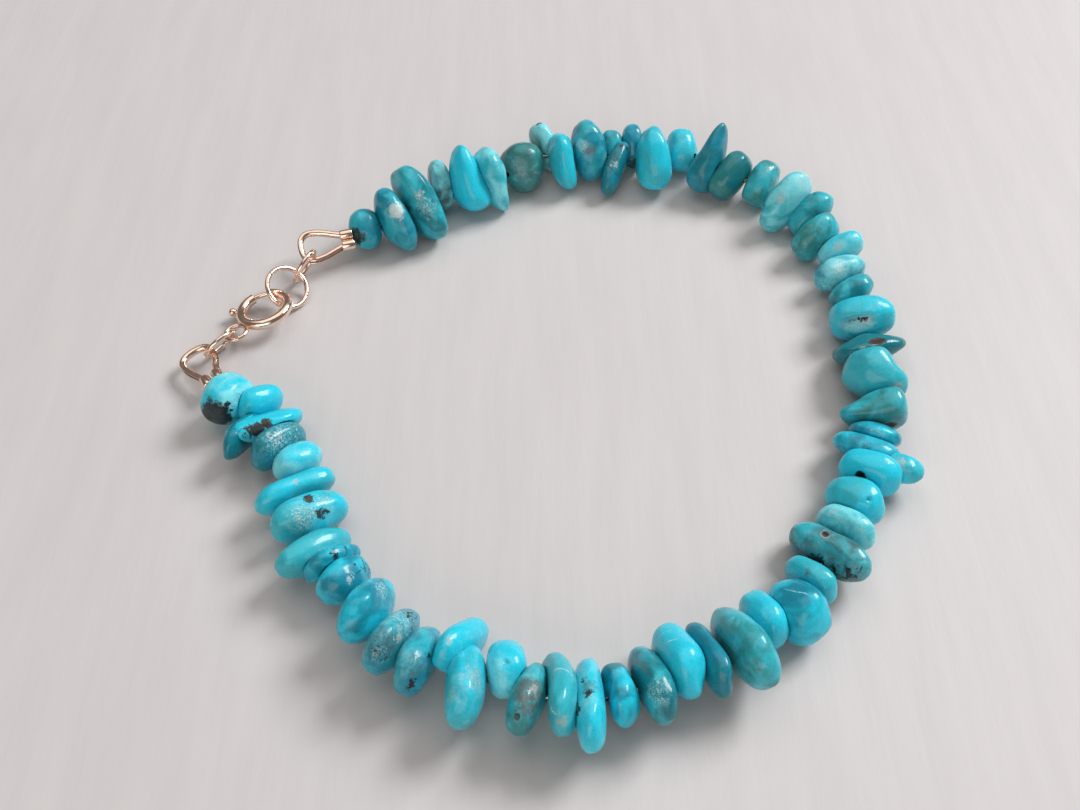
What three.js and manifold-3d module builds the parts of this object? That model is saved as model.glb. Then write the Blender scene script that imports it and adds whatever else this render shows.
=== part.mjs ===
// A bracelet of polished turquoise chips strung on fine wire, with rose gold findings
// and a spring ring clasp, lying closed on a table.
// Millimetres, +Z up. The table is at z = 0, under the middle of the bracelet's outline.

import * as THREE from 'three';
import { mergeVertices } from 'three/addons/utils/BufferGeometryUtils.js';
import Module from 'manifold-3d';

const wasm = await Module();
wasm.setup();

// The stringing wire, and its route over the table as seen from above. The route runs clockwise
// from the upper guard to the lower one, and its points are hand chosen places (x, y).
const WIRE_RADIUS = 0.2;
const WIRE_HEIGHT = 2.2;
const WIRE_ROUTE = [
  [-17.2, 20.6], [-12, 24.2], [-5, 28.6], [2.6, 32.2], [11, 32.2], [18.4, 28.6], [24.2, 22.6],
  [27, 14.2], [27.5, 5], [26, -3.8], [22.5, -11.8], [17, -18.8], [9.5, -23.6], [1, -25.4],
  [-7, -22.8], [-13.8, -17], [-18, -9.2], [-22.2, -1.4], [-27.4, 3],
];
const WIRE_SIDES = 6;
const WIRE_STEP = 3;

// The middle of the outline, as a place on the route's own plan.
const OUTLINE_MIDDLE = { x: 0.11, y: 2.99 };

// The chips. A chip's heading is that of the wire over a stretch on either side of it.
const HEADING_REACH = 6;
const CHIP_LOWEST_CENTRE = 2;
const CHIP_SETTLE = 0.08;
const CHIP_SIDES = 10;
const CHIP_RINGS = 7;
const CHIP_SQUARING = { long: 0.8, wide: 0.85, thick: 0.85 };
const WAIST_REACH = 0.4;
const BEND_LEVEL = 0.4;

// Columns: at (distance along the wire), side (centre's distance outward of the wire), long, wide,
// thick, roll, turn, tip (degrees), taper, bend, waist (shares), rise (above lying on the table).
const CHIP_COLUMNS = [
  'at', 'side', 'long', 'wide', 'thick', 'roll', 'turn', 'tip', 'taper', 'bend', 'waist', 'rise',
];
const BACK_CHIPS = [
  [1.5, 0.4, 3.7, 3.3, 2.7, 40, -15, 0, 0, 0, 0, 0],
  [4, -0.8, 6.1, 4.2, 2.5, 45, 5, 0, 0, 0, 0, 0],
  [6.7, -0.7, 7.6, 4.8, 2.6, 45, 10, 0, 0, 0, 0, 0],
  [10.3, 1.7, 4.8, 3.6, 2, 50, -10, 0, 0, 0, 0, 0],
  [12.3, 0.1, 6.4, 4.4, 2.9, 60, -5, 0, -0.3, 0.1, 0, 0],
  [14.4, -1, 6.4, 3.8, 2.1, 60, 6, 0, 0.2, 0.15, 0, 0],
  [18.4, 0.1, 4.7, 4.2, 3.8, 40, -15, 0, 0.25, 0, 0, 0],
  [21.4, 1.8, 5, 3.4, 1.9, 50, 20, 0, 0, 0, 0, 0],
  [22.2, -1.2, 5.6, 3.9, 2.1, 55, 5, 0, 0, 0.12, 0, 0],
  [25.1, -0.2, 5.8, 4.3, 3.1, 60, 6, 0, 0, 0, 0, 0],
  [27.5, 0.8, 3.9, 2.8, 2.2, 50, 10, 0, 0, 0, 0, 0],
  [27.7, -2.1, 5.9, 2.8, 1.8, 20, -20, 0, 0, 0, 0, 0],
  [29.4, 1.2, 4.4, 3.1, 2.2, 60, 14, 0, 0, 0, 0, 0],
  [31.7, -1.2, 6, 4.2, 3.2, 55, 20, 0, -0.22, 0, 0, 0],
  [33.8, 1.9, 4.2, 3.6, 3, 30, 20, 0, 0, 0, 0, 0],
  [37.1, 0.4, 6.7, 4.1, 2.4, 60, -6, 0, -0.38, 0, 0, 0],
  [39.4, 0.3, 5.1, 4, 2.6, 35, -12, 0, 0, 0, 0, 0],
  [42.1, 1.4, 4.5, 3.6, 2.6, 40, 0, 0, 0, 0, 0, 0],
  [45.7, 0.2, 6.3, 4.4, 2.5, 40, 0, 0, 0, 0, 0, 0],
  [47.6, 1.6, 4.8, 3.2, 2.6, 35, -5, 0, -0.1, 0, 0, 0],
  [50.5, 0, 4.9, 3.8, 2.6, 30, 5, 0, 0, 0, 0, 0],
  [52.6, 1.4, 4.2, 2.9, 2.3, 30, -5, 0, 0, 0, 0, 0],
  [55.3, 0, 4.6, 3.2, 2.3, 5, 4, 0, 0, 0, 0, 0],
  [57.8, 0.2, 4.2, 3.2, 2.2, 20, 15, -25, 0, 0, 0, 0],
  [61.2, 0.2, 5.6, 4.2, 3.1, 15, -4, 0, 0, 0, 0, 0],
  [64.7, 0.2, 6.2, 4, 1.9, 5, 12, -35, -0.15, 0, 0, 0],
  [67.9, 0.2, 5.3, 4.6, 3.2, -10, -19, 0, 0, 0, 0, 0],
  [71.5, 0.1, 5.2, 3.6, 2.6, 10, 15, 0, 0.35, 0, 0, 0],
  [73.9, 0.2, 4.1, 3, 1.6, 5, -8, -35, 0, 0, 0, 0],
  [75.5, -0.3, 5.4, 3.6, 2, 5, -10, -35, 0, 0, 0, 0],
  [77.9, 0.3, 4.8, 3.8, 2.9, 10, -4, 0, 0, 0, 0, 0],
  [76.6, 1.5, 5.4, 2.3, 2, 10, -12, 0, 0.15, 0, 0, 0],
];
const FRONT_CHIPS = [
  [81, -0.2, 4.7, 3.7, 2.9, 20, -10, 0, 0, 0, 0, 0],
  [83.6, 0, 4.8, 3.4, 2.3, 20, -10, 0, 0, 0, 0, 0],
  [86.2, -0.2, 6.6, 3.4, 2.9, 15, -10, 0, 0, 0, 0.2, 0],
  [89.2, -0.1, 4.3, 3.2, 2.1, 20, -8, 0, 0, 0, 0, 0],
  [92.1, 0.8, 4.6, 4.4, 3.7, 30, -10, 0, 0, 0, 0, 0],
  [94.3, -0.5, 4.6, 3.8, 2.5, 35, -15, 0, 0, 0, 0, 0],
  [97.2, 0.5, 7.4, 4.6, 2.7, 30, -8, 0, 0, 0, 0, 0],
  [99.7, -0.1, 6.5, 3.9, 2, 30, -10, 0, 0, 0, 0.2, 0],
  [101.7, -0.9, 6.1, 4.4, 2.9, 35, -8, 0, 0, 0, 0, 0],
  [104.1, 0.2, 6.6, 4.2, 2.2, 30, 0, 0, 0, 0, 0, 0],
  [106.3, 0.1, 5, 3.6, 2.2, 35, -2, 0, 0, 0, 0.2, 0],
  [108.5, 0.7, 7.5, 4.2, 2.1, 25, -3, 0, 0, 0, 0, 0],
  [110.5, 0, 6.9, 4.4, 2.1, 35, 9, 0, 0, 0.2, 0, 0],
  [112.5, 0.4, 6, 4.1, 2.2, 35, -8, 0, 0, 0, 0, 0],
  [114.6, -1.6, 4.3, 3.7, 2.8, 45, 20, 0, 0, 0, 0, 0],
  [116.6, 0.9, 6.5, 4.5, 2.7, 30, 19, 0, 0, 0, 0, 0],
  [118.5, -1.9, 6.2, 3.4, 2.3, 40, -5, 0, 0, 0, 0, 0],
  [120.4, 0.7, 5.9, 4.2, 2.3, 35, 15, 0, 0, 0, 0, 0],
  [122.7, 0.6, 6.1, 4.2, 2.3, 35, 11, 0, 0, 0, 0, 0],
  [125.7, 0.1, 5.9, 4.3, 2.6, 35, 20, 0, 0, 0, 0, 0],
  [129.2, -0.2, 4.4, 3.7, 2.5, 30, 12, 0, 0, 0, 0, 0],
  [130.8, 0, 4.4, 3.8, 1.6, 35, 8, 15, 0, 0, 0, 0.3],
  [132.5, 0.8, 6, 3.6, 2.4, 15, 8, 10, 0, 0, 0, 0],
  [135.7, 0.1, 6.2, 3.9, 2.6, 15, 6, 0, 0, 0, 0, 0],
  [138.4, 0.2, 6.4, 3.6, 2.3, 12, 8, 15, 0, 0, 0.12, 0],
  [140.9, -0.8, 4.1, 3.3, 2.6, 20, 12, 0, 0, 0, 0, 0],
  [143.2, 0, 5, 3.8, 2.3, 20, 15, 0, 0, 0, 0, 0],
  [145.7, 0.1, 6.4, 4, 2, 10, -8, 40, 0, 0, 0, 0],
  [145.9, 2, 5, 2.8, 1.5, 20, 30, 0, 0, 0, 0, 0],
  [147.9, -1, 3.9, 3.1, 2.2, 20, 0, 0, 0, 0, 0, 0],
  [149.9, 0.4, 4.5, 4.1, 3.6, 30, 15, 0, 0, 0, 0, 0],
];

// Where the two halves of the string meet, as distances along the wire.
const BACK_HALF = { from: 1.5, to: 79.35 };
const FRONT_HALF = { from: 79.55, to: 149.9 };
const FACING_SLAB = { thick: 0.2, wide: 9, high: 9 };

// The wire guards: a gutter open on its outer side, ending in two short sleeves at the string.
// The outline is one half of the gutter's middle line, out from the sleeves, and is mirrored.
const GUARD_OUTLINE = [
  [0, 0.5], [0.6, 0.55], [1.5, 0.85], [2.6, 1.25], [3.6, 1.4], [4.2, 1.2], [4.55, 0.7], [4.65, 0],
];
const GUARD_TAIL = { out: -1.2, half: 0.24 };
const GUTTER = { inner: 0.22, outer: 0.32, from: 145, to: 395, arcs: 5 };
const GUTTER_SPAN = { from: 0.13, to: 0.87 };
const GUTTER_STEPS = 22;
const SLEEVE = { inner: 0.26, outer: 0.5, start: -0.25, end: 0.95, side: 0.54, sides: 10 };
const LOOP_WIRE_RADIUS = 0.14;
const LOOP_WIRE_STEPS = 24;
const UPPER_GUARD = { at: [-17.4, 20.2, 2.2], heading: 196, pitch: -1, roll: -20 };
const LOWER_GUARD = { at: [-27.05, 3.22, 1.8], heading: 124, pitch: -7, roll: -10 };

// The plain rings, each with its middle and the direction square to its plane.
const RING_SIDES = 16;
const RING_WIRE_SIDES = 6;
const JUMP_RING = { radius: 1.55, wire: 0.21 };
const UPPER_JUMP_RING = { at: [-21.33, 17.18, 1.71], square: [-0.85, 0.36, 0.38] };
const LOWER_JUMP_RING = { at: [-27.37, 7.69, 1.62], square: [-0.67, 0.56, 0.49] };
const CATCH_RING = { radius: 1.85, wire: 0.22, at: [-22.62, 14.67, 1.45], square: [0.52, -0.32, 0.79] };

// The spring ring clasp. Its angles are counted about its middle from the end loop, in degrees.
const CLASP = { at: [-24.27, 12, 1.43], square: [-0.18, 0.1, 0.98], toLoop: [-0.6, -0.8, -0.03] };
const CLASP_TUBE = { radius: 2.1, thickness: 0.45, sides: 10, from: -107, to: 214, steps: 26 };
const CLASP_BORE = { radius: 0.29, sides: 8, mouth: -113, end: -8, socketMouth: 220, socketEnd: 206 };
const CLASP_SLOT = { from: -61, to: -25, width: 0.36, depth: 0.7 };
const END_LOOP = { radius: 0.95, wire: 0.2, sink: 0.05 };
const BOLT = { radius: 0.2, sides: 8, tip: -150, tail: -40, steps: 11 };
const BOLT_NUB = { at: -56, stem: 0.12, radius: 0.36, out: 0.85 };

const TURQUOISE = { color: 0x35a9b8, roughness: 0.25, metalness: 0 };
const ROSE_GOLD = { color: 0xd9a287, roughness: 0.25, metalness: 1 };

// Geometry, solids and back.

function solidOf(geometry) {
  const bare = geometry.clone();
  bare.deleteAttribute('normal');
  bare.deleteAttribute('uv');
  const merged = mergeVertices(bare, 1e-5);
  const mesh = new wasm.Mesh({
    numProp: 3,
    vertProperties: Float32Array.from(merged.attributes.position.array),
    triVerts: Uint32Array.from(merged.index.array),
  });
  return new wasm.Manifold(mesh);
}

function geometryOf(solid) {
  const mesh = solid.getMesh();
  const geometry = new THREE.BufferGeometry();
  geometry.setAttribute('position', new THREE.BufferAttribute(mesh.vertProperties, 3));
  geometry.setIndex(new THREE.BufferAttribute(mesh.triVerts, 1));
  geometry.computeVertexNormals();
  return geometry;
}

function joined(geometries) {
  return geometries.map(solidOf).reduce((whole, piece) => whole.add(piece));
}

const radians = THREE.MathUtils.degToRad;

// Curves.

class Arc extends THREE.Curve {
  constructor(radius, from, to) {
    super();
    this.radius = radius;
    this.from = radians(from);
    this.to = radians(to);
  }

  getPoint(t, target = new THREE.Vector3()) {
    const angle = this.from + (this.to - this.from) * t;
    return target.set(this.radius * Math.cos(angle), this.radius * Math.sin(angle), 0);
  }
}

class Stretch extends THREE.Curve {
  constructor(whole, from, to) {
    super();
    this.whole = whole;
    this.from = from;
    this.to = to;
  }

  getPoint(t, target = new THREE.Vector3()) {
    return this.whole.getPointAt(this.from + (this.to - this.from) * t, target);
  }
}

function smoothCurve(points) {
  const curve = new THREE.CatmullRomCurve3(points, false, 'catmullrom', 0.5);
  curve.arcLengthDivisions = 40 * points.length;
  return curve;
}

function roundSection(radius, sides) {
  const points = [];
  for (let i = 0; i < sides; i += 1) {
    const angle = (2 * Math.PI * i) / sides;
    points.push(new THREE.Vector2(radius * Math.cos(angle), radius * Math.sin(angle)));
  }
  return new THREE.Shape(points);
}

function along(curve, section, steps) {
  return new THREE.ExtrudeGeometry(section, { steps, bevelEnabled: false, extrudePath: curve });
}

const wireRoute = smoothCurve(WIRE_ROUTE.map(([x, y]) => new THREE.Vector3(x, y, WIRE_HEIGHT)));
const wireLength = wireRoute.getLength();

function wirePlace(at) {
  return wireRoute.getPointAt(THREE.MathUtils.clamp(at / wireLength, 0, 1));
}

function wireHeading(at) {
  const before = wirePlace(at - HEADING_REACH);
  const after = wirePlace(at + HEADING_REACH);
  return Math.atan2(after.y - before.y, after.x - before.x);
}

// Chips.

function squared(share, power) {
  return Math.sign(share) * Math.abs(share) ** power;
}

// A chip in its own frame: long along x, wide along y, thick along z.
function chipForm(chip) {
  const geometry = new THREE.SphereGeometry(1, CHIP_SIDES, CHIP_RINGS);
  const ball = geometry.attributes.position;
  for (let i = 0; i < ball.count; i += 1) {
    const x = squared(ball.getY(i), CHIP_SQUARING.long);
    const y = squared(ball.getZ(i), CHIP_SQUARING.wide);
    const z = squared(ball.getX(i), CHIP_SQUARING.thick);
    const girth = 1 + chip.taper * x;
    const waist = 1 - chip.waist * Math.exp(-((x / WAIST_REACH) ** 2));
    const lift = (chip.bend * chip.long * (x * x - BEND_LEVEL)) / 2;
    ball.setXYZ(
      i,
      (x * chip.long) / 2,
      (y * girth * chip.wide) / 2,
      (z * girth * waist * chip.thick) / 2 + lift,
    );
  }
  return geometry;
}

// The chip's axes on the table: the roll lifts its outer end, and the tip leans it along the wire.
function chipAxes(chip) {
  const heading = wireHeading(chip.at) + radians(chip.turn);
  const forward = new THREE.Vector3(Math.cos(heading), Math.sin(heading), 0);
  const outward = new THREE.Vector3(-Math.sin(heading), Math.cos(heading), 0);
  const roll = radians(chip.roll);
  const tip = radians(chip.tip);
  const long = outward.clone().multiplyScalar(Math.cos(roll));
  long.z = Math.sin(roll);
  const level = outward.clone().multiplyScalar(-Math.sin(roll));
  level.z = Math.cos(roll);
  const thick = forward.clone().multiplyScalar(Math.cos(tip)).addScaledVector(level, Math.sin(tip));
  const wide = forward.clone().multiplyScalar(-Math.sin(tip)).addScaledVector(level, Math.cos(tip));
  return new THREE.Matrix4().makeBasis(long, wide, thick);
}

function chipGeometry(row) {
  const chip = Object.fromEntries(CHIP_COLUMNS.map((name, i) => [name, row[i]]));
  const geometry = chipForm(chip).applyMatrix4(chipAxes(chip));
  geometry.computeBoundingBox();
  const resting = -geometry.boundingBox.min.z - CHIP_SETTLE;
  const heading = wireHeading(chip.at);
  const place = wirePlace(chip.at);
  return geometry.translate(
    place.x - Math.sin(heading) * chip.side,
    place.y + Math.cos(heading) * chip.side,
    Math.max(CHIP_LOWEST_CENTRE, resting) + chip.rise,
  );
}

// The wire guards.

function guardPlacement(guard) {
  const turn = new THREE.Euler(radians(guard.roll), -radians(guard.pitch), radians(guard.heading), 'ZYX');
  const matrix = new THREE.Matrix4().makeRotationFromEuler(turn);
  return matrix.setPosition(...guard.at);
}

function guardLine() {
  const half = [[GUARD_TAIL.out, GUARD_TAIL.half], ...GUARD_OUTLINE];
  const mirrored = half.slice(0, -1).reverse().map(([x, y]) => [x, -y]);
  return smoothCurve([...half, ...mirrored].map(([x, y]) => new THREE.Vector3(x, y, 0)));
}

function gutterSection() {
  const points = [];
  for (const [radius, first, last] of [
    [GUTTER.outer, GUTTER.from, GUTTER.to],
    [GUTTER.inner, GUTTER.to, GUTTER.from],
  ]) {
    for (let i = 0; i <= GUTTER.arcs; i += 1) {
      const angle = radians(first + ((last - first) * i) / GUTTER.arcs);
      points.push(new THREE.Vector2(radius * Math.cos(angle), radius * Math.sin(angle)));
    }
  }
  return new THREE.Shape(points);
}

function sleeveGeometry(side) {
  const { inner, outer, start, end, sides } = SLEEVE;
  const profile = [[inner, start], [outer, start], [outer, end], [inner, end], [inner, start]];
  const geometry = new THREE.LatheGeometry(profile.map(([r, y]) => new THREE.Vector2(r, y)), sides);
  return geometry.rotateZ(-Math.PI / 2).translate(0, side, 0);
}

function guardGeometry(guard) {
  const line = new Stretch(guardLine(), GUTTER_SPAN.from, GUTTER_SPAN.to);
  const solid = joined([
    along(line, gutterSection(), GUTTER_STEPS),
    sleeveGeometry(SLEEVE.side),
    sleeveGeometry(-SLEEVE.side),
  ]);
  return geometryOf(solid).applyMatrix4(guardPlacement(guard));
}

function loopWireGeometry(guard) {
  const geometry = along(guardLine(), roundSection(LOOP_WIRE_RADIUS, WIRE_SIDES), LOOP_WIRE_STEPS);
  return geometry.applyMatrix4(guardPlacement(guard));
}

// The string: chips, the wire through them and its loop round a guard, in one body.

function wireGeometry(half) {
  const line = new Stretch(wireRoute, half.from / wireLength, half.to / wireLength);
  const steps = Math.round((half.to - half.from) / WIRE_STEP);
  return along(line, roundSection(WIRE_RADIUS, WIRE_SIDES), steps);
}

function overTable() {
  const span = 100;
  return solidOf(new THREE.BoxGeometry(span, span, span).translate(0, 0, span / 2));
}

function facingSlab() {
  const at = (BACK_HALF.to + FRONT_HALF.from) / 2;
  const place = wirePlace(at);
  const slab = new THREE.BoxGeometry(FACING_SLAB.thick, FACING_SLAB.wide, FACING_SLAB.high);
  return solidOf(slab.rotateZ(wireHeading(at)).translate(place.x, place.y, FACING_SLAB.high / 2));
}

function stringGeometry(chips, half, guard) {
  const pieces = [wireGeometry(half), loopWireGeometry(guard), ...chips.map(chipGeometry)];
  return geometryOf(joined(pieces).subtract(facingSlab()).intersect(overTable()));
}

// The plain rings.

function ringGeometry(ring, place) {
  const geometry = new THREE.TorusGeometry(ring.radius, ring.wire, RING_WIRE_SIDES, RING_SIDES);
  const square = new THREE.Vector3(...place.square).normalize();
  geometry.applyQuaternion(new THREE.Quaternion().setFromUnitVectors(new THREE.Vector3(0, 0, 1), square));
  return geometryOf(solidOf(geometry.translate(...place.at)));
}

// The clasp, in a frame of its own: the end loop along x, and z square to the ring.

function claspPlacement() {
  const square = new THREE.Vector3(...CLASP.square).normalize();
  const toLoop = new THREE.Vector3(...CLASP.toLoop);
  toLoop.addScaledVector(square, -toLoop.dot(square)).normalize();
  const across = new THREE.Vector3().crossVectors(square, toLoop);
  return new THREE.Matrix4().makeBasis(toLoop, across, square).setPosition(...CLASP.at);
}

function claspArc(from, to, section, steps) {
  return along(new Arc(CLASP_TUBE.radius, from, to), section, steps);
}

function slotSection() {
  const { width, depth } = CLASP_SLOT;
  return new THREE.Shape([
    new THREE.Vector2(-width / 2, -depth),
    new THREE.Vector2(width / 2, -depth),
    new THREE.Vector2(width / 2, 0),
    new THREE.Vector2(-width / 2, 0),
  ]);
}

function claspBodyGeometry() {
  const tube = CLASP_TUBE;
  const ring = claspArc(tube.from, tube.to, roundSection(tube.thickness, tube.sides), tube.steps);
  const reach = tube.radius + tube.thickness + END_LOOP.radius - END_LOOP.sink;
  const loop = new THREE.TorusGeometry(END_LOOP.radius, END_LOOP.wire, RING_WIRE_SIDES, RING_SIDES);
  const boreSection = roundSection(CLASP_BORE.radius, CLASP_BORE.sides);
  const boreSteps = Math.round((CLASP_BORE.end - CLASP_BORE.mouth) / 10);
  const bore = claspArc(CLASP_BORE.mouth, CLASP_BORE.end, boreSection, boreSteps);
  const socket = claspArc(CLASP_BORE.socketEnd, CLASP_BORE.socketMouth, boreSection, 2);
  const slot = claspArc(CLASP_SLOT.from, CLASP_SLOT.to, slotSection(), 4);
  const solid = joined([ring, loop.translate(reach, 0, 0)])
    .subtract(solidOf(bore))
    .subtract(solidOf(socket))
    .subtract(solidOf(slot));
  return geometryOf(solid).applyMatrix4(claspPlacement());
}

function claspBoltGeometry() {
  const rod = claspArc(BOLT.tip, BOLT.tail, roundSection(BOLT.radius, BOLT.sides), BOLT.steps);
  const stem = new THREE.CylinderGeometry(BOLT_NUB.stem, BOLT_NUB.stem, BOLT_NUB.out, BOLT.sides);
  const nub = new THREE.SphereGeometry(BOLT_NUB.radius, BOLT.sides, BOLT.sides / 2 + 1);
  const foot = CLASP_TUBE.radius;
  stem.rotateZ(-Math.PI / 2).translate(foot + BOLT_NUB.out / 2, 0, 0).rotateZ(radians(BOLT_NUB.at));
  nub.rotateZ(-Math.PI / 2).translate(foot + BOLT_NUB.out, 0, 0).rotateZ(radians(BOLT_NUB.at));
  return geometryOf(joined([rod, stem, nub])).applyMatrix4(claspPlacement());
}

// The assembly.

const bracelet = new THREE.Group();

function addPiece(name, geometry, finish) {
  const mesh = new THREE.Mesh(geometry, new THREE.MeshStandardMaterial(finish));
  mesh.name = name;
  bracelet.add(mesh);
}

addPiece('stone_string_back', stringGeometry(BACK_CHIPS, BACK_HALF, UPPER_GUARD), TURQUOISE);
addPiece('stone_string_front', stringGeometry(FRONT_CHIPS, FRONT_HALF, LOWER_GUARD), TURQUOISE);
addPiece('wire_guard_upper', guardGeometry(UPPER_GUARD), ROSE_GOLD);
addPiece('wire_guard_lower', guardGeometry(LOWER_GUARD), ROSE_GOLD);
addPiece('jump_ring_upper', ringGeometry(JUMP_RING, UPPER_JUMP_RING), ROSE_GOLD);
addPiece('jump_ring_lower', ringGeometry(JUMP_RING, LOWER_JUMP_RING), ROSE_GOLD);
addPiece('catch_ring', ringGeometry(CATCH_RING, CATCH_RING), ROSE_GOLD);
addPiece('clasp_body', claspBodyGeometry(), ROSE_GOLD);
addPiece('clasp_bolt', claspBoltGeometry(), ROSE_GOLD);

bracelet.position.set(-OUTLINE_MIDDLE.x, -OUTLINE_MIDDLE.y, 0);

export default bracelet;
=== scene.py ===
# A bracelet of polished turquoise chips on beading wire, with rose gold findings and a spring ring
# clasp, lying closed on a pale table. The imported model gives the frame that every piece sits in.
# Sizes in the tables are millimetres, and the meshes are metres.

import math
from collections import namedtuple

import bmesh
import bpy
import numpy as np
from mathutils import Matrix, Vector, noise


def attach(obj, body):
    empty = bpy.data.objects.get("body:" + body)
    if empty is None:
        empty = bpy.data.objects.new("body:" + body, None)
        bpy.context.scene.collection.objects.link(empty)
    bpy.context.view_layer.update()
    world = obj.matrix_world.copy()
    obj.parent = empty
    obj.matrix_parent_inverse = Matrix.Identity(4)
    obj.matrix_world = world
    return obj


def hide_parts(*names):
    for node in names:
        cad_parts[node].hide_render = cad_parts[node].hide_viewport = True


bl_info = {
    "name": "Turquoise Chip Bracelet",
    "version": (1, 0, 0),
    "blender": (4, 5, 0),
    "location": "View3D > Sidebar > Bracelet",
    "description": "Builds a turquoise chip bracelet with rose gold findings",
    "category": "Object",
}

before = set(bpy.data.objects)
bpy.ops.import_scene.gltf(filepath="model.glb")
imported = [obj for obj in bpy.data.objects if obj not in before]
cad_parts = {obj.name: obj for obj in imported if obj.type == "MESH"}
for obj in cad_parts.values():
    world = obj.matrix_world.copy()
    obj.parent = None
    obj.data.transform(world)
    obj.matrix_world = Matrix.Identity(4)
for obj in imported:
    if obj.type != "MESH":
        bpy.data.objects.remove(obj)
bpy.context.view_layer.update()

MM = 0.001
BRACELET_BODY = "bracelet"
BOLT_BODY = "bolt"

# Edges sharper than this many degrees stay sharp.
CREASE = 35

# The beading wire's route, clockwise as seen from above, from the upper guard to the lower one.
WIRE_HEIGHT = 2.2
WIRE_ROUTE = (
    (-17.2, 20.6), (-12, 24.2), (-5, 28.6), (2.6, 32.2), (11, 32.2), (18.4, 28.6), (24.2, 22.6),
    (27, 14.2), (27.5, 5), (26, -3.8), (22.5, -11.8), (17, -18.8), (9.5, -23.6), (1, -25.4),
    (-7, -22.8), (-13.8, -17), (-18, -9.2), (-22.2, -1.4), (-27.4, 3),
)
OUTLINE_MIDDLE = (0.11, 2.99, 0)
STRING_NODES = ("stone_string_back", "stone_string_front")

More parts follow.
